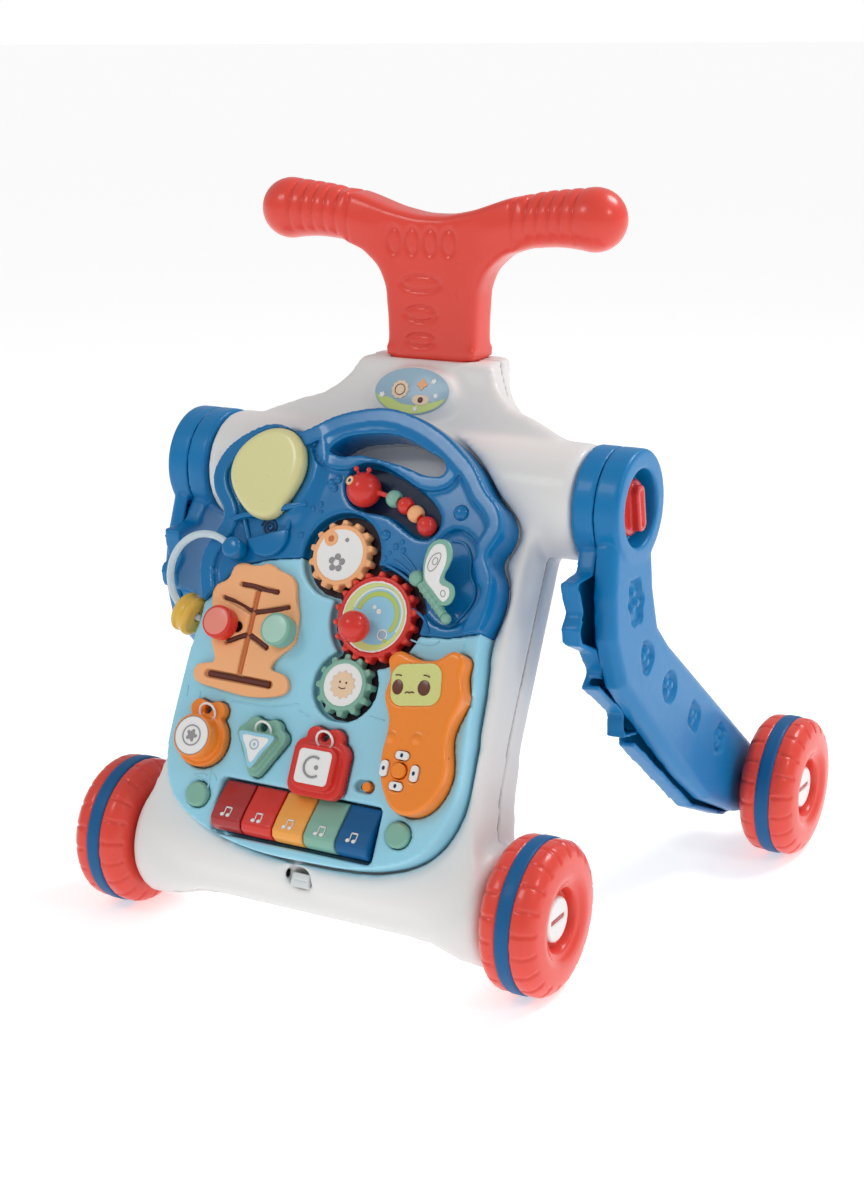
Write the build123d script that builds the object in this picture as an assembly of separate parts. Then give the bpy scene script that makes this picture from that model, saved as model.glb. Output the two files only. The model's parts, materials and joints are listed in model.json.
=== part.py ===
import math
import os

from build123d import *

# A folding baby walker with a lift-off activity tray.
# Millimetres, +Z up, the front faces -Y, the origin is on the floor under the middle of the footprint.

# Driving dimensions
WHEEL_RADIUS = 48.8
WHEEL_WIDTH = 40.0
WHEELBASE = 281.0
FRONT_TRACK_HALF = 150.0
REAR_TRACK_HALF = 206.5
AXLE_RADIUS = 4.0
AXLE_PAST_WHEEL = 11.0
RUNNING_GAP = 0.06
WALL = 3.0

TRAY_LEAN = 27.0
TRAY_FOOT_Y = -224.5
BODY_HALF_WIDTH = 110.0
SPLIT_HEIGHT = -50.0
BEAM_RADIUS = 30.0
BEAM_END_RADIUS = 38.0
BEAM_HALF_LENGTH = 128.5

PIVOT_Y = -31.0
PIVOT_Z = 280.0
DRUM_RADIUS = 37.0
DRUM_INNER_X = 135.0
DRUM_OUTER_X = 166.5
LEG_SPLIT_X = 150.0
LEG_SPLAY = 4.6
PIN_RADIUS = 12.0
KNOB_RADIUS = 18.0
KNOB_SHAFT_RADIUS = 6.0
KNOB_TILT = 10.0

HANDLE_Y = 13.5
HANDLE_NECK_HALF = 33.0
HANDLE_DEPTH = 29.0
GRIP_END_X = 112.5
GRIP_END_Z = 449.8
GRIP_END_RADIUS = 20.4
COLLAR_HALF_WIDTH = 47.0
COLLAR_HALF_DEPTH = 20.0
COLLAR_TOP_Z = 357.0
TENON_BOTTOM_Z = 326.0

TRAY_BACK = -26.0
TRAY_COVER = 4.0
TRAY_GAP = 1.5
POCKET_WALL = 2.6
SHELL_WALL = 2.5
RIM_WIDTH = 11.0
RIM_HEIGHT = 5.0
UPPER_TOP = 1.0

GEAR_MODULE = 3.1
GEAR_ADDENDUM = 1.24
GEAR_DEDENDUM = 2.6
GEAR_BACKLASH = 0.8
GEAR_TEETH = {"orange": 14, "red": 18, "green": 12}
GEAR_CENTRE = {"red": (25.4, 239.0)}
GEAR_BEARING = {"orange": 133.7, "green": 256.1}
GEAR_WELL = {"orange": 28.0, "red": 33.0, "green": 23.0}
GEAR_BOTTOM = -6.0
GEAR_TOP = 2.0
GEAR_POST_RADIUS = 3.0

KEY_PITCH = 23.0
KEY_HINGE_U = 121.5
KEY_END_U = 91.0
KEY_WELL_U = 88.8

ROD_RADIUS = 1.7
ROD_HEIGHT = 1.5
ROD_HEAD = (-2.7, 318.6)
ROD_TAIL = (47.4, 300.2)
ROD_RISE = 4.7
BEAD_RADIUS = 5.6
BEAD_LENGTH = 8.4
LOOP_CENTRE = (-105.0, 249.0)
LOOP_RADIUS = 27.5
LOOP_TUBE_RADIUS = 2.5
LOOP_HEIGHT = 3.1
LOOP_LEAN = 14.5
LOOP_START = 43.0
LOOP_END = 272.0
LOOP_BEAD_ANGLE = 251.0
LOOP_BEAD_RADIUS = 13.5
LOOP_BEAD_WIDTH = 13.0
BEAD_X = {"green": 20.5, "red": 29.6, "orange": 38.0}

HINGE_START = (52.5, 264.5)
HINGE_END = (75, 245)
HINGE_HEIGHT = 5.0
WING_TILT = 20.0
KNOB_SLOT_WIDTH = 7.2

# Tray frame: X across, local Y up the sloping face, local Z out of the face towards the child.
lean = math.radians(TRAY_LEAN)
tray_plane = Plane(
    origin=(0, TRAY_FOOT_Y, 0),
    x_dir=(1, 0, 0),
    z_dir=(0, -math.cos(lean), math.sin(lean)),
)

TRAY_OUTLINE = [
    (0, 82.5), (40, 84), (70, 90), (90, 101), (101, 117), (106, 137), (105.5, 162), (103, 190),
    (101, 215), (99, 237), (102, 252), (102.5, 264), (100, 276), (94.8, 287), (98.5, 296),
    (100, 306), (95, 317), (85, 326), (76, 337), (62, 350), (42, 362.5), (20, 370.5), (0, 373),
    (-20, 369.5), (-42, 360.5), (-59, 352), (-73.5, 355.5), (-88, 352.5), (-101, 344.5),
    (-112, 333), (-116.5, 320), (-111.5, 304), (-101.5, 291), (-104, 279), (-109.5, 267),
    (-109.5, 251), (-103.5, 234), (-104.5, 212), (-106, 188), (-106.5, 160), (-104, 130),
    (-93.5, 108), (-73.5, 94.5), (-42, 85.5),
]
SEAM = [
    (-130, 225), (-104, 232), (-96, 240), (-84, 258), (-62, 266), (-34, 271),
    (25.4, 239), (53, 231.7), (78, 233), (99, 239), (130, 246),
]
SLOT_OUTLINE = [
    (-33, 343), (-24, 350.5), (-8, 354.5), (8, 356), (26, 352.5), (42, 346), (52, 340),
    (52.5, 334.5), (45, 331.5), (27, 335), (4, 338.8), (-13, 339.8), (-27, 338.5),
]
CRAWLER_RECESS = [
    (-15, 330), (-2, 336), (24, 329), (48, 315.5), (56, 303.5), (50, 292.5), (34, 295),
    (16, 303.5), (-2, 305), (-14, 312),
]
LENS_OUTLINE = [
    (-80, 293), (-94, 305), (-101, 319), (-99, 333), (-89, 345), (-75, 351.5), (-61, 350),
    (-50, 339), (-47.5, 323), (-54, 305), (-62, 293),
]
WING_RECESS = [
    (62, 298), (73, 300.5), (86, 286), (86, 274), (94, 266), (91, 251), (80, 240), (72, 239),
    (50, 262), (52, 275),
]
TREE_OUTLINE = [
    (-62, 262), (-72, 260.5), (-84, 257.5), (-86, 250.5), (-94, 243), (-95, 234), (-90, 220),
    (-88, 208), (-83, 195), (-95, 190.5), (-95.5, 184), (-82, 178.7), (-58, 176.5), (-35, 178.5),
    (-24, 185), (-27.5, 193), (-39.5, 196.5), (-34, 207), (-28, 213), (-28.5, 231),
    (-34, 248), (-41, 257.5), (-50, 260),
]
TREE_BRANCHES = [
    [(-75, 247.5), (-62, 246.5), (-47, 245.5)],
    [(-86, 237.5), (-61.5, 230), (-36.5, 236.5)],
    [(-76.5, 209), (-61.5, 216), (-46, 209)],
]
TREE_TOP = 4.0
RED_KNOB_CENTRE = (-80.9, 219.5)
GREEN_KNOB_CENTRE = (-36.5, 220.4)
KNOB_TRAVEL = 10.0

HANDSET_OUTLINE = [
    (77, 122), (90, 126), (98.5, 138), (100.5, 155), (96.5, 172), (97.5, 182), (101, 198),
    (97.5, 213), (97, 221), (88, 224), (82, 219.5), (60, 218), (53, 219.5), (46.5, 214),
    (49.5, 205), (49, 192), (55, 178), (56, 165), (56.5, 148), (64, 131),
]
HANDSET_BOTTOM = -3.5
HANDSET_TOP = 12.0
SCREEN_CENTRE = (69.5, 200.5)
PAD_CENTRE = (71.0, 147.5)


def grown(points, amount):
    """Moves every point of a closed outline outwards along its local normal."""
    count = len(points)
    turn = sum(
        points[i - 1][0] * points[i][1] - points[i][0] * points[i - 1][1] for i in range(count)
    )
    side = amount if turn > 0 else -amount
    moved = []
    for i, (x, y) in enumerate(points):
        before = points[i - 1]
        after = points[(i + 1) % count]
        step = (after[0] - before[0], after[1] - before[1])
        length = math.hypot(*step)
        moved.append((x + side * step[1] / length, y - side * step[0] / length))
    return moved


def smooth_face(points, grow=0.0):
    return make_face(Spline(*grown(points, grow), periodic=True))


def straight_face(points):
    return make_face(Polyline(*points, close=True))


def prism(face, low, high):
    """The face extruded along Z from low to high."""
    return extrude(Pos(0, 0, low) * face, amount=high - low, dir=(0, 0, 1))


def disc(radius, low, high, centre=(0, 0)):
    return Pos(centre[0], centre[1], low) * Cylinder(
        radius, high - low, align=(Align.CENTER, Align.CENTER, Align.MIN)
    )


def block(width, height, low, high, centre=(0, 0), corner=0.0):
    face = RectangleRounded(width, height, corner) if corner else Rectangle(width, height)
    return prism(Pos(*centre) * face, low, high)


def along_x(radius, start, end, y=0.0, z=0.0):
    """A cylinder about an axis parallel to X."""
    return Pos(start, y, z) * Rot(0, 90, 0) * Cylinder(
        radius, end - start, align=(Align.CENTER, Align.CENTER, Align.MIN)
    )


def side_plate(points, start, end):
    """An outline in (y, z) extruded along X."""
    return extrude(Plane.YZ.offset(start) * straight_face(points), amount=end - start, dir=(1, 0, 0))


def on_tray(shape):
    return tray_plane * shape


def mirrored(shape):
    return mirror(shape, about=Plane.YZ)


def save(shapes):
    os.makedirs("parts", exist_ok=True)
    for name, shape in shapes.items():
        export_step(shape, f"parts/{name}.step")
        print(name, round(shape.volume))


# Gear centres follow from the tooth counts.
def gear_centre(name):
    if name in GEAR_CENTRE:
        return GEAR_CENTRE[name]
    distance = GEAR_MODULE * (GEAR_TEETH["red"] + GEAR_TEETH[name]) / 2
    bearing = math.radians(GEAR_BEARING[name])
    x, u = GEAR_CENTRE["red"]
    return (x + distance * math.cos(bearing), u + distance * math.sin(bearing))


# Body

def panel_solid(inset):
    """The leaning panel: its outline from the front cut to its side profile."""
    half = BODY_HALF_WIDTH - inset
    right = [
        (half + 14, 50), (half + 13, 96), (half + 6, 120), (half + 1, 150), (half, 185),
        (half, 374), (88, 384 - inset), (70 - inset, 390 - inset), (57 - inset, 402 - inset),
        (48 - inset, 420),
        (COLLAR_HALF_WIDTH - inset, 440),
    ]
    front = straight_face(right + [(-x, u) for x, u in reversed(right)])
    profile = [
        (60, -42), (61.5, -31), (67, -22), (75, -16), (86, -13), (150, -12), (250, -14),
        (310, -18), (350, -25), (400, -32), (445, -34), (445, -62), (380, -64), (290, -72),
        (180, -72), (120, -80), (90, -83), (74, -81), (64, -74), (60, -64),
    ]
    side = side_plate(grown(profile, -inset), -200, 200)
    return prism(front, -120, 20) & side


def beam_solid(inset):
    """The tube round the front axle, flared towards the wheels."""
    centre = (81.6, -52.7)
    half = BEAM_HALF_LENGTH - inset
    thin = BEAM_RADIUS - inset
    thick = BEAM_END_RADIUS - inset
    section = [
        (-half, 0), (-half, thick - 5), (-half + 4, thick), (-108, thick - 1), (-86, thin + 1),
        (-70, thin), (70, thin), (86, thin + 1), (108, thick - 1), (half - 4, thick),
        (half, thick - 5), (half, 0),
    ]
    turned = revolve(straight_face(section), axis=Axis.X)
    return Pos(0, centre[0], centre[1]) * turned


def stub_solid(inset):
    """The round stubs that carry the legs."""
    return along_x(
        DRUM_RADIUS - inset, -134.4 + inset, 134.4 - inset, PIVOT_Y, PIVOT_Z
    )


def collar_solid(inset):
    """The upright collar that holds the handle."""
    width = 2 * (COLLAR_HALF_WIDTH - inset)
    depth = 2 * (COLLAR_HALF_DEPTH - inset)
    return block(width, depth, 312, COLLAR_TOP_Z - inset, (0, HANDLE_Y), corner=11 - inset)


def body_solid(inset):
    below_top = block(700, 900, -50, COLLAR_TOP_Z - inset)
    panel = on_tray(panel_solid(inset) + beam_solid(inset)) & below_top
    return panel + stub_solid(inset) + collar_solid(inset)


def tray_pocket(grow):
    return on_tray(prism(smooth_face(TRAY_OUTLINE, grow), TRAY_BACK - 0.5, 40))


def badge_boss():
    oval = Ellipse(31, 18.5)
    return on_tray(Pos(0, 393, 0) * prism(oval, -45, -25))


def screw_places():
    """Four screws join the two body shells, in the tray frame."""
    return [(-88, 190), (88, 190), (-60, 372), (60, 372)]


def body_shells():
    outer = body_solid(0) + badge_boss()
    pocket = tray_pocket(TRAY_GAP)
    floor_face = smooth_face(TRAY_OUTLINE, TRAY_GAP + POCKET_WALL)
    floor = on_tray(prism(floor_face, TRAY_BACK - 0.5 - POCKET_WALL, 40))
    inner = body_solid(WALL) - floor
    handle_hole = block(
        2 * HANDLE_NECK_HALF - 4, HANDLE_DEPTH - 2, TENON_BOTTOM_Z, COLLAR_TOP_Z + 5,
        (0, HANDLE_Y), corner=8,
    )
    axle_y = -WHEELBASE / 2
    axle_hole = along_x(AXLE_RADIUS + 0.02, -140, 140, axle_y, WHEEL_RADIUS)
    pin_hole = along_x(PIN_RADIUS + 0.02, -140, 140, PIVOT_Y, PIVOT_Z)
    bead_relief = on_loop(disc(LOOP_RADIUS + 16, -15.5, 20) - disc(6, -20, 30))
    bead_relief = on_tray(bead_relief & block(60, 74, -60, 40, (-132, 235)))
    latch_slot = on_tray(block(15, 13, -38, -15, (0, 72.5)))
    shell = outer - pocket - inner
    shell = shell - handle_hole - axle_hole - pin_hole - bead_relief - latch_slot
    latch_box = on_tray(block(20, 18, -41, -24, (0, 72.5)) - block(15, 13, -38, -15, (0, 72.5)))
    shell = shell + (latch_box & on_tray(beam_solid(1)))
    for place in screw_places():
        boss = on_tray(disc(5, -64, -32, place)) & body_solid(1)
        shell = shell + boss - on_tray(disc(1.55, -62, -38, place) + disc(3.2, -90, -60, place))
    front_half = on_tray(block(600, 900, SPLIT_HEIGHT, 400, (0, 300)))
    front = shell & front_half
    rear = shell - front_half
    return largest(front), largest(rear)


def largest(shape):
    """The main solid, without loose crumbs left by a cut."""
    return max(shape.solids(), key=lambda solid: solid.volume)


def push_handle():
    """A Y-shaped bar: an extruded neck and fork, with round grips."""
    half = [
        (HANDLE_NECK_HALF - 0.5, COLLAR_TOP_Z + 0.2), (33, 375), (34.5, 402), (40, 414.5),
        (52, 425), (66, 429.5), (66, 464.5), (52, 461), (30, 453.5), (10, 449.5),
    ]
    outline = half + [(-x, z) for x, z in reversed(half)]
    fork = extrude(
        Plane.XZ.offset(-HANDLE_Y - HANDLE_DEPTH / 2) * straight_face(outline),
        amount=HANDLE_DEPTH, dir=(0, -1, 0),
    )
    sections = [(38, 440, 15.5), (58, 445, 17.5), (80, 449, 17.8), (98, 450, 18.8), (112.5, 449.8, 20.4)]
    faces = [
        Plane(origin=(x, HANDLE_Y, z), x_dir=(0, 1, 0), z_dir=(1, 0, 0)) * Circle(radius)
        for x, z, radius in sections
    ]
    grip = loft(faces) + Pos(GRIP_END_X, HANDLE_Y, GRIP_END_Z) * Sphere(GRIP_END_RADIUS)
    tenon = block(
        2 * HANDLE_NECK_HALF - 4.1, HANDLE_DEPTH - 2.1, TENON_BOTTOM_Z, COLLAR_TOP_Z + 1,
        (0, HANDLE_Y), corner=7.9,
    )
    return fork + grip + mirrored(grip) + tenon


def front_axle():
    reach = FRONT_TRACK_HALF + AXLE_PAST_WHEEL
    return along_x(AXLE_RADIUS, -reach, reach, -WHEELBASE / 2, WHEEL_RADIUS)


def pivot_pin():
    """A flanged pin fixed in the stub; the leg's drum turns on it."""
    shaft = along_x(PIN_RADIUS, 112, 139, PIVOT_Y, PIVOT_Z)
    head = along_x(PIN_RADIUS + 4, 138.9, 143, PIVOT_Y, PIVOT_Z)
    return shaft + head


def body_fasteners():
    pieces = [pivot_pin(), mirrored(pivot_pin())]
    for place in screw_places():
        screw = disc(1.5, -60, -38.5, place) + disc(2.8, -61.8, -60, place)
        pieces.append(on_tray(screw))
    return Compound(children=[solid for piece in pieces for solid in piece.solids()])


def tray_latch():
    slider = block(13.6, 9, -36.5, -23.8, (0, 70.9), corner=1.5)
    return on_tray(slider - block(9, 1.2, -24.8, -20, (0, 71)))


# Legs

LEG_OUTER = [
    (-66, 262), (-74, 232), (-76, 205), (-65, 172), (-35, 142.5), (0, 109), (28, 83.5),
    (63, 56.5), (118, 29), (136, 24), (152, 27), (164, 40), (164, 58), (145, 74), (78, 127.5),
    (10, 182), (-5.5, 198.5), (-9.5, 223), (-8, 262),
]
LEG_INNER = [
    (-60, 262), (-70, 246.5), (-93.5, 245), (-88, 225), (-95.5, 217), (-93, 206), (-73, 197),
    (-64, 181), (-73.5, 173.5), (-38.5, 147.5), (-41, 132), (-20, 128), (-25.5, 122), (63, 50),
    (118, 25.5), (136, 24), (152, 27), (164, 40), (164, 58), (145, 74), (78, 127.5), (10, 182),
    (-5.5, 198.5), (-9.5, 223), (-8, 262),
]


def splayed(shape):
    """Tilts a leg so that its foot stands outside its pivot."""
    turn = Pos(LEG_SPLIT_X, 0, PIVOT_Z) * Rot(0, -LEG_SPLAY, 0) * Pos(-LEG_SPLIT_X, 0, -PIVOT_Z)
    return turn * shape


def wheel_side_cut():
    """Room for the rear wheel beside the foot of the leg."""
    clear = REAR_TRACK_HALF - WHEEL_WIDTH / 2 - 0.9
    return Pos(clear + 30, WHEELBASE / 2, 50) * Box(60, 200, 140)


def leg_outer():
    plate = side_plate(LEG_OUTER, LEG_SPLIT_X, 163.5)
    face_edges = plate.faces().sort_by(Axis.X)[-1].edges()
    plate = fillet(face_edges, 7)
    hollow = side_plate(grown(LEG_OUTER, -4), LEG_SPLIT_X - 1, 160)
    shell = splayed(plate - hollow) - wheel_side_cut()
    shell = shell - along_x(DRUM_RADIUS - 1, 130, 190, PIVOT_Y, PIVOT_Z)
    shell = shell - along_x(DRUM_RADIUS + 0.1, 130, LEG_SPLIT_X, PIVOT_Y, PIVOT_Z)
    drum = along_x(DRUM_RADIUS, LEG_SPLIT_X, DRUM_OUTER_X, PIVOT_Y, PIVOT_Z)
    drum = fillet(drum.faces().sort_by(Axis.X)[-1].edges(), 2.5)
    drum = drum - along_x(DRUM_RADIUS - WALL, LEG_SPLIT_X - 1, 163.5, PIVOT_Y, PIVOT_Z)
    drum = drum + along_x(27, LEG_SPLIT_X, 163.6, PIVOT_Y, PIVOT_Z)
    drum = drum - along_x(24.5, 152.5, DRUM_OUTER_X + 1, PIVOT_Y, PIVOT_Z)
    drum = drum - along_x(KNOB_SHAFT_RADIUS + RUNNING_GAP, 140, 160, PIVOT_Y, PIVOT_Z)
    axle_boss = along_x(9, 174, 185.5, WHEELBASE / 2, WHEEL_RADIUS)
    leg = shell + drum + axle_boss
    return largest(leg - along_x(AXLE_RADIUS + 0.02, 150, 200, WHEELBASE / 2, WHEEL_RADIUS))


def leg_inner():
    plate = side_plate(LEG_INNER, 137, LEG_SPLIT_X)
    hollow = side_plate(grown(LEG_INNER, -3), 140, LEG_SPLIT_X + 1)
    shell = splayed(plate - hollow)
    shell = shell - along_x(DRUM_RADIUS - 1, 130, 190, PIVOT_Y, PIVOT_Z)
    shell = shell - along_x(DRUM_RADIUS + 0.1, LEG_SPLIT_X, 190, PIVOT_Y, PIVOT_Z)
    drum = along_x(DRUM_RADIUS, DRUM_INNER_X, LEG_SPLIT_X, PIVOT_Y, PIVOT_Z)
    drum = drum - along_x(DRUM_RADIUS - WALL, 138.5, LEG_SPLIT_X + 1, PIVOT_Y, PIVOT_Z)
    drum = drum - along_x(PIN_RADIUS + RUNNING_GAP, 130, 145, PIVOT_Y, PIVOT_Z)
    axle_boss = along_x(9, 157.5, 167, WHEELBASE / 2, WHEEL_RADIUS)
    leg = shell + drum + axle_boss
    return largest(leg - along_x(AXLE_RADIUS + 0.02, 150, 200, WHEELBASE / 2, WHEEL_RADIUS))


def lock_knob():
    """A turning disc with a raised grip bar, held by a snap head behind the drum's floor."""
    disc_part = along_x(KNOB_RADIUS, 153, 161)
    disc_part = fillet(disc_part.faces().sort_by(Axis.X)[-1].edges(), 2)
    bar = Pos(163, 0, 0) * Box(8, 11, 30)
    bar = fillet(bar.edges().filter_by(Axis.X), 5)
    bar = bar - Pos(167, 0, 0) * Box(3, 3, 24)
    shaft = along_x(KNOB_SHAFT_RADIUS, 146, 154)
    head = along_x(KNOB_SHAFT_RADIUS + 1.5, 146, 149.6)
    knob = Rot(KNOB_TILT, 0, 0) * (disc_part + bar + shaft + head)
    return Pos(0, PIVOT_Y, PIVOT_Z) * knob


def rear_axle():
    return along_x(
        AXLE_RADIUS, 160, REAR_TRACK_HALF + AXLE_PAST_WHEEL, WHEELBASE / 2, WHEEL_RADIUS
    )


# Wheels

def wheel_parts():
    """Tyre and disc, soft band and hub cap about the X axis, outer side towards +X."""
    half = WHEEL_WIDTH / 2
    bore = AXLE_RADIUS + RUNNING_GAP
    groove_radius = WHEEL_RADIUS - 2.6
    outer = [(10, 48.2), (14, 46.8), (17.5, 43), (half, 33), (19.3, 26), (17, 21.5), (14, 19.2)]
    right = [(5, groove_radius), (5, 48.2)]
    rim = Spline(*outer, tangents=[(1, 0), (-1, -0.3)])
    profile = [
        Line((0, groove_radius), right[0]),
        Line(right[0], right[1]),
        Line(right[1], outer[0]),
        rim,
        Line(outer[-1], (9, 18.5)),
        Line((9, 18.5), (9, bore)),
        Line((9, bore), (0, bore)),
    ]
    half_profile = make_face(profile + [Line((0, bore), (0, groove_radius))])
    side = revolve(half_profile, axis=Axis.X)
    wheel = side + mirrored(side)
    band_face = straight_face([
        (-5, groove_radius), (5, groove_radius), (5, 48.2), (3.5, WHEEL_RADIUS),
        (-3.5, WHEEL_RADIUS), (-5, 48.2),
    ])
    band = revolve(band_face, axis=Axis.X)
    cap = along_x(14.3, 9, 14.5)
    cap = fillet(cap.faces().sort_by(Axis.X)[-1].edges(), 2)
    cap = cap - along_x(AXLE_RADIUS + 1, 8, 12) - Pos(14.5, 0, 0) * Box(2, 20, 4.5)
    return wheel, band, cap


# Gears

def gear_face(teeth):
    """Stub involute teeth with backlash; one tooth points along +X."""
    pitch = GEAR_MODULE * teeth / 2
    tip = pitch + GEAR_ADDENDUM
    root = pitch - GEAR_DEDENDUM
    pressure = math.radians(25)
    base = pitch * math.cos(pressure)
    half_tooth = math.pi / (2 * teeth) - GEAR_BACKLASH / (2 * pitch)
    involute = math.tan(pressure) - pressure
    points = []
    for tooth in range(teeth):
        middle = 2 * math.pi * tooth / teeth
        flank = []
        for step in range(4):
            radius = max(base, root) + (tip - max(base, root)) * step / 3
            angle = math.acos(min(1.0, base / radius))
            flank.append((radius, half_tooth + involute - (math.tan(angle) - angle)))
        flank.insert(0, (root, flank[0][1] + 0.01))
        for radius, angle in flank:
            points.append((radius * math.cos(middle - angle), radius * math.sin(middle - angle)))
        for radius, angle in reversed(flank):
            points.append((radius * math.cos(middle + angle), radius * math.sin(middle + angle)))
    return straight_face(points)


def gear(name, first_tooth):
    """A spinning gear with a recessed seat for its picture disc."""
    teeth = GEAR_TEETH[name]
    pitch = GEAR_MODULE * teeth / 2
    wheel = prism(gear_face(teeth), GEAR_BOTTOM, GEAR_TOP)
    wheel = wheel + disc(pitch - 2.2, GEAR_BOTTOM, GEAR_TOP + 1.2)
    wheel = wheel - disc(pitch - 4.6, GEAR_TOP + 0.4, GEAR_TOP + 5)
    wheel = wheel - disc(GEAR_POST_RADIUS + RUNNING_GAP, GEAR_BOTTOM - 1, GEAR_TOP - 1.5)
    return Rot(0, 0, first_tooth) * wheel


def gears():
    """The red gear drives the other two; a tooth meets a gap on each line of centres."""
    placed = {}
    red = gear("red", GEAR_BEARING["orange"] % (360 / GEAR_TEETH["red"]))
    knob = disc(4, GEAR_TOP, 9, (-6, -9.5)) + Pos(-6, -9.5, 14) * Sphere(10)
    placed["gear_red"] = on_tray(Pos(*gear_centre("red"), 0) * (red + knob))
    for name in ("orange", "green"):
        pitch = 360 / GEAR_TEETH[name]
        red_pitch = 360 / GEAR_TEETH["red"]
        to_red = GEAR_BEARING[name] + 180
        red_phase = (GEAR_BEARING[name] - GEAR_BEARING["orange"]) % red_pitch / red_pitch
        first = to_red + pitch / 2 + red_phase * pitch
        placed[f"gear_{name}"] = on_tray(Pos(*gear_centre(name), 0) * gear(name, first))
    return placed


# Tray

def upper_region():
    """Everything above the seam between the two tray shells."""
    corners = SEAM + [(130, 420), (-130, 420)]
    return straight_face(corners)


def ribbon(points, width):
    """A slot outline that follows a bent line, with round ends."""
    face = None
    for start, end in zip(points, points[1:]):
        length = math.hypot(end[0] - start[0], end[1] - start[1])
        angle = math.degrees(math.atan2(end[1] - start[1], end[0] - start[0]))
        middle = ((start[0] + end[0]) / 2, (start[1] + end[1]) / 2)
        piece = Pos(*middle) * Rot(0, 0, angle) * SlotCenterToCenter(length, width)
        face = piece if face is None else face + piece
    return face


def button_outline(name):
    """The three shape buttons: a body with two ears that carry a ring."""
    if name == "circle":
        centre = (-78, 145)
        body = Circle(18)
        ear_height = 19
    elif name == "triangle":
        centre = (-34, 146)
        body = make_face(FilletPolyline((-22, 13), (0, -23), (22, 13), radius=5, close=True))
        ear_height = 13
    else:
        centre = (11, 140)
        body = RectangleRounded(39, 36, 8)
        ear_height = 20
    ears = Pos(-7, ear_height) * Circle(6) + Pos(7, ear_height) * Circle(6)
    ears = ears + Pos(0, ear_height - 3) * Rectangle(14, 15)
    return centre, body, ears, ear_height


def shape_button(name, grow=0.0, low=-2.0, high=5.0):
    centre, body, ears, ear_height = button_outline(name)
    face = body + ears
    if grow:
        face = offset(face, amount=grow)
    return Pos(*centre, 0) * prism(face, low, high)


def shape_buttons():
    placed = {}
    triangle = make_face(FilletPolyline((-15.5, 9.5), (0, -16), (15.5, 9.5), radius=3, close=True))
    tops = {
        "circle": (Circle(14), 15.5),
        "triangle": (triangle, 10.5),
        "square": (RectangleRounded(29, 27, 6), 10.5),
    }
    for name, (face, height) in tops.items():
        centre, body, ears, ear_height = button_outline(name)
        base = shape_button(name) - disc(3, -10, 20, (centre[0], centre[1] + ear_height))
        cap = Pos(*centre, 0) * prism(face, 4.5, height)
        placed[f"shape_button_{name}"] = on_tray(base + cap)
    return placed


def key_well(grow, low, high):
    """The well of the five keys; grown, it is the outside of the well's wall."""
    start = KEY_WELL_U - grow
    end = KEY_HINGE_U + 3 + grow
    width = 5 * KEY_PITCH + 3 + 2 * grow
    return block(width, end - start, low, high, (0, (start + end) / 2), corner=3 + grow / 2)


def tray_pits():
    """Wells in the tray face: (cutter, outer wall)."""
    pits = []
    for name in ("orange", "red", "green"):
        centre = gear_centre(name)
        radius = GEAR_WELL[name]
        pits.append((disc(radius, -7.5, 30, centre), disc(radius + 2, -9.5, 0, centre)))
    pits.append((key_well(0, -16.5, 30), key_well(2, -18.5, -1)))
    for x in (-73.4, 73.4):
        pits.append((disc(8.6, -8, 30, (x, 110)), disc(10.6, -10, 0, (x, 110))))
    for name in ("circle", "triangle", "square"):
        pits.append((shape_button(name, 0.8, -5, 30), shape_button(name, 2.8, -7, -1)))
    switch = (43.2, 135)
    pits.append((block(14, 7.5, -6, 30, switch, corner=3.5), block(18, 11.5, -8, 0, switch, corner=5)))
    pits.append((
        prism(smooth_face(HANDSET_OUTLINE, 0.8), -4, 30),
        prism(smooth_face(HANDSET_OUTLINE, 3), -6, -1),
    ))
    pits.append((
        prism(smooth_face(CRAWLER_RECESS), -9, 30),
        prism(smooth_face(CRAWLER_RECESS, 2.2), -11, 0),
    ))
    tree_seat = prism(smooth_face(TREE_OUTLINE, 0.4), 0, 30)
    pits.append((tree_seat, tree_seat))
    pits.append((
        prism(smooth_face(WING_RECESS), -3, 30),
        prism(smooth_face(WING_RECESS, 2), -5, 0),
    ))
    return pits


def tray_shells():
    region = prism(upper_region(), -40, 40)
    slot = smooth_face(SLOT_OUTLINE)
    skin = prism(smooth_face(TRAY_OUTLINE), TRAY_BACK + TRAY_COVER, 0)
    cavity = prism(smooth_face(TRAY_OUTLINE, -SHELL_WALL), TRAY_BACK + TRAY_COVER - 1, -SHELL_WALL)
    cavity = cavity - prism(smooth_face(SLOT_OUTLINE, SHELL_WALL), -40, 40)
    rim = prism(smooth_face(TRAY_OUTLINE, -0.5), -1, RIM_HEIGHT)
    rim = rim - prism(smooth_face(TRAY_OUTLINE, -RIM_WIDTH), UPPER_TOP, 20)
    bridge = prism(smooth_face(SLOT_OUTLINE, 9), -1, RIM_HEIGHT - 0.5)
    bridge = bridge & prism(smooth_face(TRAY_OUTLINE, -0.5), -1, 20)
    upper_extra = (rim + bridge) & region
    shell = skin + upper_extra
    pits = tray_pits()
    for cutter, wall in pits:
        cavity = cavity - wall
    shell = shell - cavity
    for cutter, wall in pits:
        shell = shell - cutter
    shell = shell - prism(slot, -40, 40)
    lens_seat = prism(smooth_face(LENS_OUTLINE, 0.1), UPPER_TOP, 30)
    shell = shell - lens_seat
    for name in ("orange", "red", "green"):
        shell = shell + disc(GEAR_POST_RADIUS, -8, GEAR_TOP - 2, gear_centre(name))
    shell = shell - tree_slots(-10, 3) - on_loop(loop_tube(LOOP_TUBE_RADIUS + 0.05, 230, 50))
    upper = largest(shell & region)
    lower = largest(shell - region)
    return upper, lower


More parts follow.
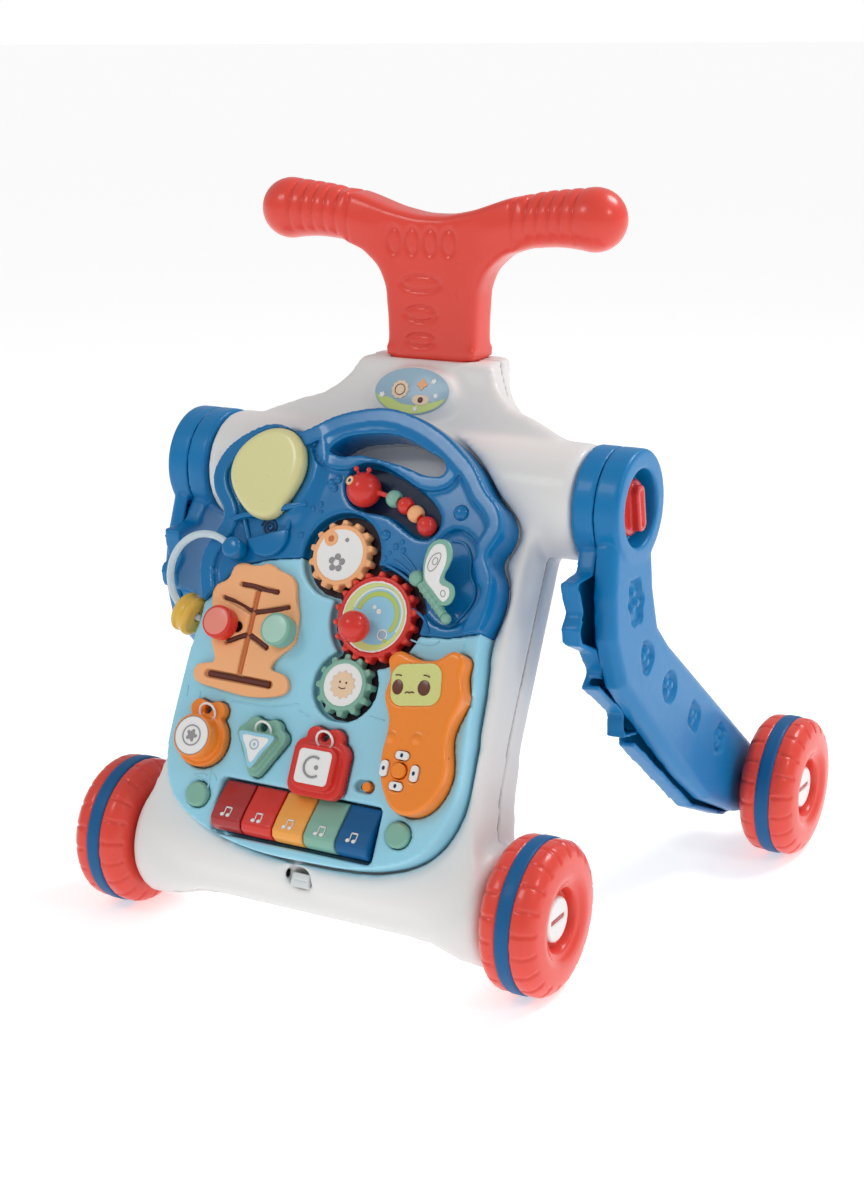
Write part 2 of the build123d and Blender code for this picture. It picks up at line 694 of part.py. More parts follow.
def tree_slots(low, high):
    """The slots that the two sliding knobs of the tree run in."""
    cut = None
    for centre, step in ((RED_KNOB_CENTRE, KNOB_TRAVEL), (GREEN_KNOB_CENTRE, -KNOB_TRAVEL)):
        middle = (centre[0] + step / 2, centre[1])
        slot = prism(Pos(*middle) * SlotCenterToCenter(KNOB_TRAVEL, KNOB_SLOT_WIDTH), low, high)
        cut = slot if cut is None else cut + slot
    return cut


def tree_plate():
    plate = prism(smooth_face(TREE_OUTLINE), 0, TREE_TOP)
    trunk = ribbon([(-61.5, 190), (-61.5, 244)], 4.2)
    ground = ribbon([(-85, 187), (-38, 186)], 5.5)
    plate = plate - prism(trunk, TREE_TOP - 2.4, 10) - prism(ground, TREE_TOP - 3, 10)
    for branch in TREE_BRANCHES:
        plate = plate - prism(ribbon(branch, 3.6), TREE_TOP - 2.4, 10)
    return on_tray(plate - tree_slots(-1, 10))


def tree_knob(centre):
    """A sliding knob: head above the tree, stem in the slot, foot behind the tray wall."""
    head = disc(10.8, TREE_TOP + 0.5, TREE_TOP + 10.5, centre)
    head = fillet(head.faces().sort_by(Axis.Z)[-1].edges(), 1.6)
    stem = disc(3.2, -4, TREE_TOP + 1, centre)
    foot = disc(5.6, -5.8, -3.2, centre)
    return on_tray(head + stem + foot)


def back_cover():
    """The rear cover, with the battery bay's cut-out and the through slot."""
    cover = prism(smooth_face(TRAY_OUTLINE), TRAY_BACK, TRAY_BACK + TRAY_COVER)
    cover = cover - prism(smooth_face(SLOT_OUTLINE), -40, 40)
    cover = cover - block(76, 52, -40, -10, (0, 205), corner=5)
    bay = block(80, 56, TRAY_BACK + 1, -12, (0, 205), corner=7)
    bay = bay - block(76, 52, -40, -14, (0, 205), corner=5)
    return on_tray(cover + bay)


def battery_door():
    door = block(75.6, 51.6, TRAY_BACK, TRAY_BACK + 2, (0, 205), corner=5)
    return on_tray(door - block(14, 4, TRAY_BACK - 1, TRAY_BACK + 1, (0, 222), corner=1.8))


def speaker_board():
    board = block(64, 40, -20.5, -18.9, (-20, 150))
    speaker = disc(17, -18.9, -14, (-20, 150)) + disc(9, -14, -9.5, (-20, 150))
    posts = [disc(2, -22, -20.5, (x, u)) for x in (-48, 8) for u in (133, 167)]
    result = board + speaker
    for post in posts:
        result = result + post
    return on_tray(result)


def balloon_lens():
    lens = prism(smooth_face(LENS_OUTLINE), UPPER_TOP, 11)
    return on_tray(fillet(lens.faces().sort_by(Axis.Z)[-1].edges(), 5))


def rod_arc():
    """The crawler's rod is an arc through its head and tail; returns centre and radius."""
    head = ROD_HEAD
    tail = ROD_TAIL
    chord = math.hypot(tail[0] - head[0], tail[1] - head[1])
    rise = ROD_RISE
    radius = (chord * chord / 4 + rise * rise) / (2 * rise)
    middle = ((head[0] + tail[0]) / 2, (head[1] + tail[1]) / 2)
    normal = ((tail[1] - head[1]) / chord, -(tail[0] - head[0]) / chord)
    back = radius - rise
    return (middle[0] + normal[0] * back, middle[1] + normal[1] * back), radius


def ring(centre, radius, tube, height):
    return Pos(centre[0], centre[1], height) * Torus(radius, tube)


def rod_point(x):
    centre, radius = rod_arc()
    return (x, centre[1] + math.sqrt(radius * radius - (x - centre[0]) ** 2))


def crawler():
    centre, radius = rod_arc()
    head_at = ROD_HEAD
    tail_at = ROD_TAIL
    wedge = straight_face([centre, (head_at[0] - 2, 330), (60, 330), (tail_at[0] + 1.5, tail_at[1])])
    rod = ring(centre, radius, ROD_RADIUS, ROD_HEIGHT) & prism(wedge, -5, 8)
    above_floor = block(200, 200, -9, 40, (20, 310))
    head = Pos(*head_at, ROD_HEIGHT) * Sphere(11.3) & above_floor
    tail = Pos(*tail_at, ROD_HEIGHT) * Sphere(6.3)
    foot = disc(2.5, -9, ROD_HEIGHT, tail_at)
    head_foot = disc(5, -9, ROD_HEIGHT, head_at)
    return on_tray(head + rod + tail + foot + head_foot)


def bead(colour):
    centre, radius = rod_arc()
    at = rod_point(BEAD_X[colour])
    turn = math.degrees(math.atan2(at[1] - centre[1], at[0] - centre[0])) + 90
    bore = ROD_RADIUS + 0.45
    end = BEAD_LENGTH / 2
    end_radius = math.sqrt(BEAD_RADIUS**2 - end**2)
    section = make_face([
        Line((-end, bore), (-end, end_radius)),
        ThreePointArc((-end, end_radius), (0, BEAD_RADIUS), (end, end_radius)),
        Line((end, end_radius), (end, bore)),
        Line((end, bore), (-end, bore)),
    ])
    ball = revolve(section, axis=Axis.X)
    return on_tray(Pos(at[0], at[1], ROD_HEIGHT) * Rot(0, 0, turn) * ball)


def on_loop(shape):
    """Loop frame: its plane leans so that the tube dives into the tray's side wall."""
    x, u = LOOP_CENTRE
    return Pos(x, u, LOOP_HEIGHT) * Rot(LOOP_LEAN, 0, 0) * shape


def loop_tube(radius, start, sweep_angle):
    path = CenterArc((0, 0), LOOP_RADIUS, start, sweep_angle)
    return sweep((path ^ 0) * Circle(radius), path=path)


def bead_loop():
    """A tube bent into a loop beside the tray, from a boss on its face to its side wall."""
    tube = on_loop(loop_tube(LOOP_TUBE_RADIUS, LOOP_START, LOOP_END - LOOP_START))
    start = math.radians(LOOP_START)
    top = (LOOP_CENTRE[0] + LOOP_RADIUS * math.cos(start), LOOP_CENTRE[1] + 20)
    boss = disc(6.5, UPPER_TOP, LOOP_HEIGHT + 9.4, top)
    boss = fillet(boss.faces().sort_by(Axis.Z)[-1].edges(), 2.5)
    return on_tray(tube + boss)


def loop_bead():
    """A ribbed roller threaded on the loop."""
    half = LOOP_BEAD_WIDTH / 2
    section = [(-half, 0), (-half, 11.5), (-half + 2, LOOP_BEAD_RADIUS), (-2.6, LOOP_BEAD_RADIUS)]
    section += [(-2, 12.2), (2, 12.2), (2.6, LOOP_BEAD_RADIUS), (half - 2, LOOP_BEAD_RADIUS)]
    section += [(half, 11.5), (half, 0)]
    roller = revolve(straight_face(section), axis=Axis.X)
    at = Rot(0, 0, LOOP_BEAD_ANGLE) * Pos(LOOP_RADIUS, 0, 0) * Rot(0, 0, 90)
    hole = loop_tube(LOOP_TUBE_RADIUS + 0.4, LOOP_BEAD_ANGLE - 25, 50)
    return on_tray(on_loop(at * roller - hole))


def piano_key(index):
    """A key that is hinged at its upper end and rounded at its lower end."""
    x = (index - 2) * KEY_PITCH
    profile = [
        (KEY_HINGE_U + 1.5, -10), (KEY_HINGE_U + 1.5, -4.5), (KEY_HINGE_U - 2, -3),
        (107, 3), (98, 6), (KEY_END_U + 2.7, 4), (KEY_END_U + 0.4, -1), (KEY_END_U, -6),
        (KEY_END_U + 1.5, -12.5), (112, -12.5),
    ]
    key = Pos(x, 0, 0) * side_plate(profile, -KEY_PITCH / 2 + 0.5, KEY_PITCH / 2 - 0.5)
    return on_tray(key)


def corner_button(x):
    button = disc(8, -5, 3.5, (x, 110))
    button = fillet(button.faces().sort_by(Axis.Z)[-1].edges(), 2)
    return on_tray(button)


def slide_switch():
    at = (45.4, 135)
    return on_tray(block(6, 6.6, -5.7, -3.5, at, corner=1) + disc(2.9, -4, 1.5, at))


def hinge_angle():
    return math.degrees(math.atan2(HINGE_END[1] - HINGE_START[1], HINGE_END[0] - HINGE_START[0]))


def butterfly_wing():
    """A wing flap on a barrel hinge; local X runs along the hinge, local Y across the wing."""
    length = math.hypot(HINGE_END[0] - HINGE_START[0], HINGE_END[1] - HINGE_START[1])
    wing = smooth_face([
        (3, 3.2), (-7, 14), (-9, 26), (-1, 34), (9, 27), (13, 16), (20, 18), (26, 14),
        (26, 6), (22, 3.2), (12, 2.8),
    ])
    leaf = Rot(WING_TILT, 0, 0) * prism(wing, -1.2, 1.2)
    barrel = along_x(3, 2, length - 1)
    bore = along_x(1.5 + RUNNING_GAP, -5, length + 5)
    flap = (leaf + barrel) - bore
    return on_tray(Pos(*HINGE_START, HINGE_HEIGHT) * Rot(0, 0, hinge_angle()) * flap)


def wing_hinge_mounts():
    """The ball and the end post that carry the wing's hinge rod; they belong to the upper shell."""
    length = math.hypot(HINGE_END[0] - HINGE_START[0], HINGE_END[1] - HINGE_START[1])
    rod = along_x(1.5, -1, length + 1)
    ball = Pos(-2.6, 0, 0) * Sphere(4.4)
    ball_foot = disc(3, -HINGE_HEIGHT - 3.2, 0, (-2.6, 0))
    post = Pos(length + 1.6, 0, 0) * Sphere(3)
    post_foot = disc(2.2, -HINGE_HEIGHT - 3.2, 0, (length + 1.6, 0))
    mounts = rod + ball + ball_foot + post + post_foot
    return Pos(*HINGE_START, HINGE_HEIGHT) * Rot(0, 0, hinge_angle()) * mounts


def handset():
    """The removable toy handset with a face screen and a ring of keys."""
    shell = prism(smooth_face(HANDSET_OUTLINE), HANDSET_BOTTOM, HANDSET_TOP)
    shell = fillet(shell.faces().sort_by(Axis.Z)[-1].edges(), 3)
    screen_face = Rot(0, 0, 9) * RectangleRounded(34, 26, 8)
    screen_at = Pos(*SCREEN_CENTRE, 0)
    shell = shell - screen_at * prism(screen_face, HANDSET_TOP - 1.6, 30)
    screen = screen_at * prism(screen_face, HANDSET_TOP - 1.6, HANDSET_TOP + 0.3)
    pad = Pos(*PAD_CENTRE, 0)
    centre_key = pad * disc(4.6, HANDSET_TOP - 2.6, HANDSET_TOP + 2)
    shell = shell - pad * disc(5.2, HANDSET_TOP - 4.4, 30)
    white_keys = []
    for turn, reach, across in ((0, 10.4, 10), (90, 9.4, 9), (180, 10.4, 10), (270, 9.4, 9)):
        face = Rot(0, 0, turn) * Pos(reach, 0) * RectangleRounded(5.2, across, 2.4)
        hole = Rot(0, 0, turn) * Pos(reach, 0) * RectangleRounded(6, across + 0.8, 2.8)
        white_keys.append(pad * prism(face, HANDSET_TOP - 2.4, HANDSET_TOP + 1))
        shell = shell - pad * prism(hole, HANDSET_TOP - 4, 30)
    for place in ((60.5, 166.5), (78, 168)):
        shell = shell + Pos(*place, HANDSET_TOP - 1) * Sphere(3.2)
    keys = Compound(children=[solid for key in white_keys for solid in on_tray(key).solids()])
    return {
        "handset_shell": on_tray(shell),
        "handset_screen": on_tray(screen),
        "handset_center_key": on_tray(centre_key),
        "handset_white_keys": keys,
    }


# Assembly

def build():
    nodes = {}
    nodes["front_shell"], nodes["rear_shell"] = body_shells()
    nodes["push_handle"] = push_handle()
    nodes["front_axle"] = front_axle()
    nodes["body_fasteners"] = body_fasteners()
    nodes["tray_latch"] = tray_latch()
    for name, right in (
        ("leg_outer", leg_outer()), ("leg_inner", leg_inner()),
        ("lock_knob", lock_knob()), ("rear_axle", rear_axle()),
    ):
        nodes[f"{name}_right"] = right
        nodes[f"{name}_left"] = mirrored(right)
    rows = (("front", FRONT_TRACK_HALF, -WHEELBASE / 2), ("rear", REAR_TRACK_HALF, WHEELBASE / 2))
    for part_name, part in zip(("wheel", "wheel_band", "hub_cap"), wheel_parts()):
        for row, x, y in rows:
            right = Pos(x, y, WHEEL_RADIUS) * part
            nodes[f"{part_name}_{row}_right"] = right
            nodes[f"{part_name}_{row}_left"] = mirrored(right)
    upper, lower = tray_shells()
    nodes["tray_upper_shell"] = on_tray(upper + wing_hinge_mounts())
    nodes["tray_lower_shell"] = on_tray(lower)
    nodes["tray_back_cover"] = back_cover()
    nodes["battery_door"] = battery_door()
    nodes["speaker_board"] = speaker_board()
    nodes["balloon_lens"] = balloon_lens()
    nodes["tree_plate"] = tree_plate()
    nodes["tree_knob_red"] = tree_knob(RED_KNOB_CENTRE)
    nodes["tree_knob_green"] = tree_knob(GREEN_KNOB_CENTRE)
    nodes["bead_loop"] = bead_loop()
    nodes["loop_bead"] = loop_bead()
    nodes["crawler"] = crawler()
    for colour in BEAD_X:
        nodes[f"bead_{colour}"] = bead(colour)
    nodes.update(gears())
    for index in range(5):
        nodes[f"piano_key_{index + 1}"] = piano_key(index)
    nodes["corner_button_left"] = corner_button(-73.4)
    nodes["corner_button_right"] = corner_button(73.4)
    nodes.update(shape_buttons())
    nodes["slide_switch"] = slide_switch()
    nodes["butterfly_wing"] = butterfly_wing()
    nodes.update(handset())
    return nodes


save(build())
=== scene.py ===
import json
import math

import bpy
import numpy as np
from mathutils import Matrix, Vector

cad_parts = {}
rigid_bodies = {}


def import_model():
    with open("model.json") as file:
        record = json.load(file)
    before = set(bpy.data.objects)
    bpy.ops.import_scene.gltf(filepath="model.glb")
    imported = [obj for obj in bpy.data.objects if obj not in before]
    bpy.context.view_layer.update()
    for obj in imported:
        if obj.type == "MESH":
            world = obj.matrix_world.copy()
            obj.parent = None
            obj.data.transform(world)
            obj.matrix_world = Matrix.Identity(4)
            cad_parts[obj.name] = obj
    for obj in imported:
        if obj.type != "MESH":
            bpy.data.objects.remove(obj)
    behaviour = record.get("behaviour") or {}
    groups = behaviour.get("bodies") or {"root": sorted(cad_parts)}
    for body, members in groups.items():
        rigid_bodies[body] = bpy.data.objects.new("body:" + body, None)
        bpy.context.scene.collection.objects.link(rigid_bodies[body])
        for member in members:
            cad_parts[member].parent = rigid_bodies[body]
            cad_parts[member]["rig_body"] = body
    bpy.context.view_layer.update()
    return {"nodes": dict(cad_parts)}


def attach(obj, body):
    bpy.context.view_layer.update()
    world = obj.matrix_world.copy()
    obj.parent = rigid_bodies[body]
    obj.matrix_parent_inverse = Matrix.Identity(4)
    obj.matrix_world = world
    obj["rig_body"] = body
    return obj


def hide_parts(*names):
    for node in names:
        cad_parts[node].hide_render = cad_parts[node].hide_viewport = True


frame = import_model()
nodes = frame["nodes"]
mm = 0.001
print("frame loaded,", len(nodes), "nodes")

# The sloping tray face: x across, u up the slope, h out of the face, all in millimetres.
trayLean = math.radians(27)
trayFrame = Matrix((
    (1, 0, 0, 0),
    (0, math.sin(trayLean), -math.cos(trayLean), -0.2245),
    (0, math.cos(trayLean), math.sin(trayLean), 0),
    (0, 0, 0, 1),
))


# finishes
def openGroup(name, inputs, outputs):
    tree = bpy.data.node_groups.new(name, "ShaderNodeTree")
    for label, kind, value in inputs:
        socket = tree.interface.new_socket(label, in_out="INPUT", socket_type=kind)
        socket.default_value = value
    for label, kind in outputs:
        tree.interface.new_socket(label, in_out="OUTPUT", socket_type=kind)
    return tree, tree.nodes.new("NodeGroupInput"), tree.nodes.new("NodeGroupOutput")


def maths(tree, operation, first, second, clamp=False):
    node = tree.nodes.new("ShaderNodeMath")
    node.operation = operation
    node.use_clamp = clamp
    for place, value in enumerate((first, second)):
        if isinstance(value, (int, float)):
            node.inputs[place].default_value = value
        else:
            tree.links.new(value, node.inputs[place])
    return node.outputs[0]


def blendColour(tree, mode, factor, first, second):
    node = tree.nodes.new("ShaderNodeMix")
    node.data_type = "RGBA"
    node.blend_type = mode
    for socket, value in ((node.inputs[0], factor), (node.inputs[6], first), (node.inputs[7], second)):
        if isinstance(value, (int, float, tuple)):
            socket.default_value = value
        else:
            tree.links.new(value, socket)
    return node.outputs[2]


def noise(tree, scale, detail):
    where = tree.nodes.new("ShaderNodeTexCoord")
    node = tree.nodes.new("ShaderNodeTexNoise")
    node.inputs["Detail"].default_value = detail
    tree.links.new(where.outputs["Object"], node.inputs["Vector"])
    if isinstance(scale, (int, float)):
        node.inputs["Scale"].default_value = scale
    else:
        tree.links.new(scale, node.inputs["Scale"])
    return node.outputs["Fac"]


def makeSoftEdge():
    # rounds the light on sharp edges and marks them for wear and a painted edge highlight
    tree, enter, leave = openGroup(
        "softEdge",
        [("Width", "NodeSocketFloat", 0.0008), ("Wear And Highlight", "NodeSocketFloat", 0.5)],
        [("Normal", "NodeSocketVector"), ("Mask", "NodeSocketFloat")],
    )
    bevel = tree.nodes.new("ShaderNodeBevel")
    bevel.samples = 4
    tree.links.new(enter.outputs["Width"], bevel.inputs["Radius"])
    surface = tree.nodes.new("ShaderNodeNewGeometry")
    turn = tree.nodes.new("ShaderNodeVectorMath")
    turn.operation = "DOT_PRODUCT"
    tree.links.new(bevel.outputs[0], turn.inputs[0])
    tree.links.new(surface.outputs["Normal"], turn.inputs[1])
    bent = maths(tree, "SUBTRACT", 1.0, turn.outputs["Value"])
    bent = maths(tree, "MULTIPLY", bent, 7.0, clamp=True)
    patchy = maths(tree, "MULTIPLY", noise(tree, 120.0, 3.0), 1.6)
    mask = maths(tree, "MULTIPLY", bent, patchy)
    mask = maths(tree, "MULTIPLY", mask, enter.outputs["Wear And Highlight"], clamp=True)
    tree.links.new(bevel.outputs[0], leave.inputs["Normal"])
    tree.links.new(mask, leave.inputs["Mask"])
    return tree


def makeMouldedSkin():
    # slow colour drift, fine spark-erosion grain and uneven gloss of moulded plastic, with lighter edges that are
    # part wear and part painted highlight
    tree, enter, leave = openGroup(
        "mouldedSkin",
        [
            ("Colour", "NodeSocketColor", (0.8, 0.8, 0.8, 1)),
            ("Worn And Highlit Colour", "NodeSocketColor", (0.9, 0.9, 0.9, 1)),
            ("Wear Mask", "NodeSocketFloat", 0.0),
            ("Edge Normal", "NodeSocketVector", (0, 0, 0)),
            ("Drift", "NodeSocketFloat", 0.08),
            ("Roughness", "NodeSocketFloat", 0.35),
            ("Grain", "NodeSocketFloat", 0.15),
            ("Grain Scale", "NodeSocketFloat", 1500.0),
        ],
        [("Colour", "NodeSocketColor"), ("Roughness", "NodeSocketFloat"), ("Normal", "NodeSocketVector")],
    )
    slow = noise(tree, 16.0, 4.0)
    middle = noise(tree, 160.0, 5.0)
    fine = noise(tree, enter.outputs["Grain Scale"], 2.0)
    shade = maths(tree, "SUBTRACT", slow, 0.5)
    shade = maths(tree, "MULTIPLY", shade, enter.outputs["Drift"])
    shade = maths(tree, "ADD", shade, 1.0)
    toned = blendColour(tree, "MULTIPLY", 1.0, enter.outputs["Colour"], shade)
    # lightens the colour on the edge mask: part wear, part painted edge highlight
    wornAndHighlit = blendColour(tree, "MIX", enter.outputs["Wear Mask"], toned, enter.outputs["Worn And Highlit Colour"])
    gloss = maths(tree, "MULTIPLY", maths(tree, "SUBTRACT", middle, 0.5), 0.18)
    gloss = maths(tree, "ADD", gloss, enter.outputs["Roughness"])
    gloss = maths(tree, "ADD", gloss, maths(tree, "MULTIPLY", enter.outputs["Wear Mask"], 0.15), clamp=True)
    bump = tree.nodes.new("ShaderNodeBump")
    bump.inputs["Distance"].default_value = 0.0002
    tree.links.new(enter.outputs["Grain"], bump.inputs["Strength"])
    tree.links.new(fine, bump.inputs["Height"])
    tree.links.new(enter.outputs["Edge Normal"], bump.inputs["Normal"])
    tree.links.new(wornAndHighlit, leave.inputs["Colour"])
    tree.links.new(gloss, leave.inputs["Roughness"])
    tree.links.new(bump.outputs["Normal"], leave.inputs["Normal"])
    return tree


softEdge = makeSoftEdge()
mouldedSkin = makeMouldedSkin()


def finish(name, colour, roughness=0.34, coat=0.25, grain=0.12, drift=0.1, wearAndHighlight=0.35, **shader):
    material = bpy.data.materials.new(name)
    material.use_nodes = True
    tree = material.node_tree
    principled = tree.nodes["Principled BSDF"]
    edge = tree.nodes.new("ShaderNodeGroup")
    edge.node_tree = softEdge
    edge.inputs["Width"].default_value = 0.0007
    edge.inputs["Wear And Highlight"].default_value = wearAndHighlight
    skin = tree.nodes.new("ShaderNodeGroup")
    skin.node_tree = mouldedSkin
    skin.inputs["Colour"].default_value = (*colour, 1)
    # a lighter copy of the colour for the edges, standing for wear and a painted edge highlight
    skin.inputs["Worn And Highlit Colour"].default_value = (*[min(1.0, c * 1.15 + 0.05) for c in colour], 1)
    skin.inputs["Drift"].default_value = drift
    skin.inputs["Roughness"].default_value = roughness
    skin.inputs["Grain"].default_value = grain
    tree.links.new(edge.outputs["Mask"], skin.inputs["Wear Mask"])
    tree.links.new(edge.outputs["Normal"], skin.inputs["Edge Normal"])
    tree.links.new(skin.outputs["Colour"], principled.inputs["Base Color"])
    tree.links.new(skin.outputs["Roughness"], principled.inputs["Roughness"])
    tree.links.new(skin.outputs["Normal"], principled.inputs["Normal"])
    principled.inputs["Coat Weight"].default_value = coat
    principled.inputs["Coat Roughness"].default_value = 0.12
    principled.inputs["Specular IOR Level"].default_value = 0.32
    for socket, value in shader.items():
        principled.inputs[socket].default_value = value
    material.diffuse_color = (*colour, 1)
    return material


finishes = {
    "white_body": finish("satinWhite", (0.79, 0.785, 0.775), 0.42, 0.15, 0.10, 0.05, 0.15),
    "coral_red": finish("coralRed", (0.80, 0.062, 0.040), 0.31, 0.3, 0.06),
    "deep_blue": finish("deepBlue", (0.0, 0.165, 0.42), 0.2, 0.3, 0.035),
    "leg_blue": finish("legBlue", (0.0, 0.19, 0.47), 0.36, 0.1, 0.08),
    "light_blue": finish("skyBlue", (0.33, 0.70, 0.87), 0.36, 0.25, drift=0.06),
    "band_blue": finish("bandBlue", (0.0, 0.105, 0.29), 0.5, 0.05, 0.2),
    "steel": finish("axleSteel", (0.62, 0.62, 0.61), 0.28, 0.0, 0.25, Metallic=1.0),
    "white_trim": finish("whiteTrim", (0.84, 0.84, 0.83), 0.3, 0.3, drift=0.04),
    "lens_yellow": finish("lensYellow", (0.74, 0.71, 0.34), 0.3, 0.4, 0.04, 0.04, 0.1),
    "tree_peach": finish("treePeach", (0.94, 0.46, 0.21), 0.42, 0.15),
    "sage_green": finish("sageGreen", (0.22, 0.46, 0.36), 0.36, 0.25),
    "toy_red": finish("toyRed", (0.70, 0.032, 0.022), 0.3, 0.3, 0.06),
    "dark_red": finish("darkRed", (0.42, 0.022, 0.022), 0.34, 0.35),
    "toy_orange": finish("toyOrange", (0.91, 0.25, 0.022), 0.3, 0.3, 0.06),
    "key_yellow": finish("keyYellow", (0.90, 0.39, 0.07), 0.34, 0.3),
    "tube_blue": finish("tubeBlue", (0.74, 0.87, 0.92), 0.18, 0.4, 0.03, 0.03, 0.1,
                        **{"Transmission Weight": 0.3, "IOR": 1.42}),
    "bead_yellow": finish("beadYellow", (0.76, 0.47, 0.07), 0.36, 0.25),
    "screen_green": finish("screenGreen", (0.66, 0.68, 0.24), 0.28, 0.4, 0.04, 0.04, 0.1),
    "board": finish("circuitBoard", (0.02, 0.16, 0.05), 0.5, 0.1),
}
# label print colours; navy and wellShade also paint the shade on the floors of the crawler recess, switch bed and
# gear wells
printsAndShades = {
    "navy": finish("wellNavy", (0.004, 0.022, 0.075), 0.5, 0.1),
    "maroon": finish("slotMaroon", (0.12, 0.028, 0.02), 0.5, 0.05),
    "wellShade": finish("wellShade", (0.035, 0.012, 0.02), 0.55, 0.05),
    "bark": finish("barkOrange", (0.60, 0.17, 0.05), 0.45, 0.1),
    "paper": finish("labelWhite", (0.86, 0.86, 0.85), 0.4, 0.3, 0.03, 0.03, 0.05),
    "grey": finish("labelGrey", (0.30, 0.29, 0.30), 0.45, 0.2, 0.03, 0.05, 0.05),
    "paleBlue": finish("labelPaleBlue", (0.30, 0.62, 0.80), 0.4, 0.3, 0.03, 0.04, 0.05),
    "skyGrey": finish("labelSky", (0.33, 0.50, 0.62), 0.4, 0.3, 0.03, 0.06, 0.05),
    "leaf": finish("labelLeaf", (0.50, 0.62, 0.12), 0.4, 0.3, 0.03, 0.06, 0.05),
    "lime": finish("labelLime", (0.66, 0.74, 0.26), 0.4, 0.3, 0.03, 0.05, 0.05),
    "beige": finish("labelBeige", (0.84, 0.62, 0.42), 0.42, 0.25, 0.03, 0.06, 0.05),
    "brown": finish("labelBrown", (0.13, 0.035, 0.02), 0.35, 0.3, 0.03, 0.05, 0.05),
    "pink": finish("labelPink", (0.84, 0.26, 0.20), 0.38, 0.25, 0.05, 0.05, 0.1),
    "mint": finish("labelMint", (0.40, 0.64, 0.54), 0.38, 0.25, 0.05, 0.05, 0.1),
    "orange": finish("labelOrange", (0.86, 0.36, 0.12), 0.4, 0.3, 0.03, 0.05, 0.05),
}
print("finishes mixed")


# making and placing
def only(*pieces):
    bpy.ops.object.select_all(action="DESELECT")
    for piece in pieces:
        piece.select_set(True)
    bpy.context.view_layer.objects.active = pieces[0]


def applyAll(piece):
    only(piece)
    for modifier in list(piece.modifiers):
        bpy.ops.object.modifier_apply(modifier=modifier.name)
    return piece


def settle(piece, name, body, material, stands=()):
    piece.name = name
    piece.data.name = name
    piece.data.materials.clear()
    piece.data.materials.append(material)
    for polygon in piece.data.polygons:
        polygon.material_index = 0
    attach(piece, body)
    if stands:
        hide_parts(*stands)
    return piece


def press(piece, relief):
    # moves each point along its normal by relief(points, normals), in metres
    mesh = piece.data
    points = np.empty(len(mesh.vertices) * 3, np.float32)
    normals = np.empty(len(mesh.vertices) * 3, np.float32)
    mesh.vertices.foreach_get("co", points)
    mesh.vertices.foreach_get("normal", normals)
    points = points.reshape(-1, 3)
    normals = normals.reshape(-1, 3)
    moved = points + normals * relief(points / mm, normals)[:, None].astype(np.float32) * mm
    mesh.vertices.foreach_set("co", moved.astype(np.float32).ravel())
    mesh.update()


def easeMore(piece, rounds, where):
    # extra smoothing where(points) is true
    points = np.empty(len(piece.data.vertices) * 3, np.float32)
    piece.data.vertices.foreach_get("co", points)
    chosen = where(points.reshape(-1, 3) / mm)
    group = piece.vertex_groups.new(name="more")
    group.add([int(i) for i in np.flatnonzero(chosen)], 1.0, "REPLACE")
    ease = piece.modifiers.new("easeMore", "SMOOTH")
    ease.factor = 0.5
    ease.iterations = rounds
    ease.vertex_group = "more"
    applyAll(piece)
    piece.vertex_groups.clear()


def softSkin(node, name, finishName, voxel, rounds, relief=None, held=None, more=None):
    # a rounded skin over one CAD node: merged, evened out and eased, then pressed
    source = nodes[node]
    body = source["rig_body"]
    piece = bpy.data.objects.new(name, source.data.copy())
    bpy.context.scene.collection.objects.link(piece)
    only(piece)
    bpy.ops.object.mode_set(mode="EDIT")
    bpy.ops.mesh.select_all(action="SELECT")
    bpy.ops.mesh.remove_doubles(threshold=0.00001)
    bpy.ops.object.mode_set(mode="OBJECT")
    remesh = piece.modifiers.new("evenSkin", "REMESH")
    remesh.mode = "VOXEL"
    remesh.voxel_size = voxel * mm
    applyAll(piece)
    ease = piece.modifiers.new("ease", "SMOOTH")
    ease.factor = 0.5
    ease.iterations = rounds
    if held is not None:
        mesh = piece.data
        points = np.empty(len(mesh.vertices) * 3, np.float32)
        mesh.vertices.foreach_get("co", points)
        fixed = held(points.reshape(-1, 3) / mm)
        group = piece.vertex_groups.new(name="soft")
        group.add([int(i) for i in np.flatnonzero(~fixed)], 1.0, "REPLACE")
        group.add([int(i) for i in np.flatnonzero(fixed)], 0.08, "REPLACE")
        ease.vertex_group = "soft"
    applyAll(piece)
    piece.vertex_groups.clear()
    if more is not None:
        easeMore(piece, *more)
    if relief is not None:
        press(piece, relief)
    bpy.ops.object.shade_smooth()
    material = finishes[finishName] if finishName in finishes else printsAndShades[finishName]
    settle(piece, name, body, material, (node,))
    return piece


def oval(x, u, rx, ru, turn=0.0, count=44):
    c, s = math.cos(math.radians(turn)), math.sin(math.radians(turn))
    ring = []
    for i in range(count):
        a = 2 * math.pi * i / count
        px, pu = rx * math.cos(a), ru * math.sin(a)
        ring.append((x + c * px - s * pu, u + s * px + c * pu))
    return ring


def lobed(x, u, radius, lobes, depth, count=80, turn=0.0):
    ring = []
    for i in range(count):
        a = 2 * math.pi * i / count
        r = radius * (1 + depth * math.cos(lobes * a))
        ring.append((x + r * math.cos(a + turn), u + r * math.sin(a + turn)))
    return ring


def tablet(x, u, width, height, corner, turn=0.0):
    c, s = math.cos(math.radians(turn)), math.sin(math.radians(turn))
    ring = []
    for quarter, (sx, su) in enumerate(((1, 1), (-1, 1), (-1, -1), (1, -1))):
        for step in range(7):
            a = math.radians(90 * quarter + 15 * step)
            px = sx * (width / 2 - corner) + corner * math.cos(a)
            pu = su * (height / 2 - corner) + corner * math.sin(a)
            ring.append((x + c * px - s * pu, u + s * px + c * pu))
    return ring


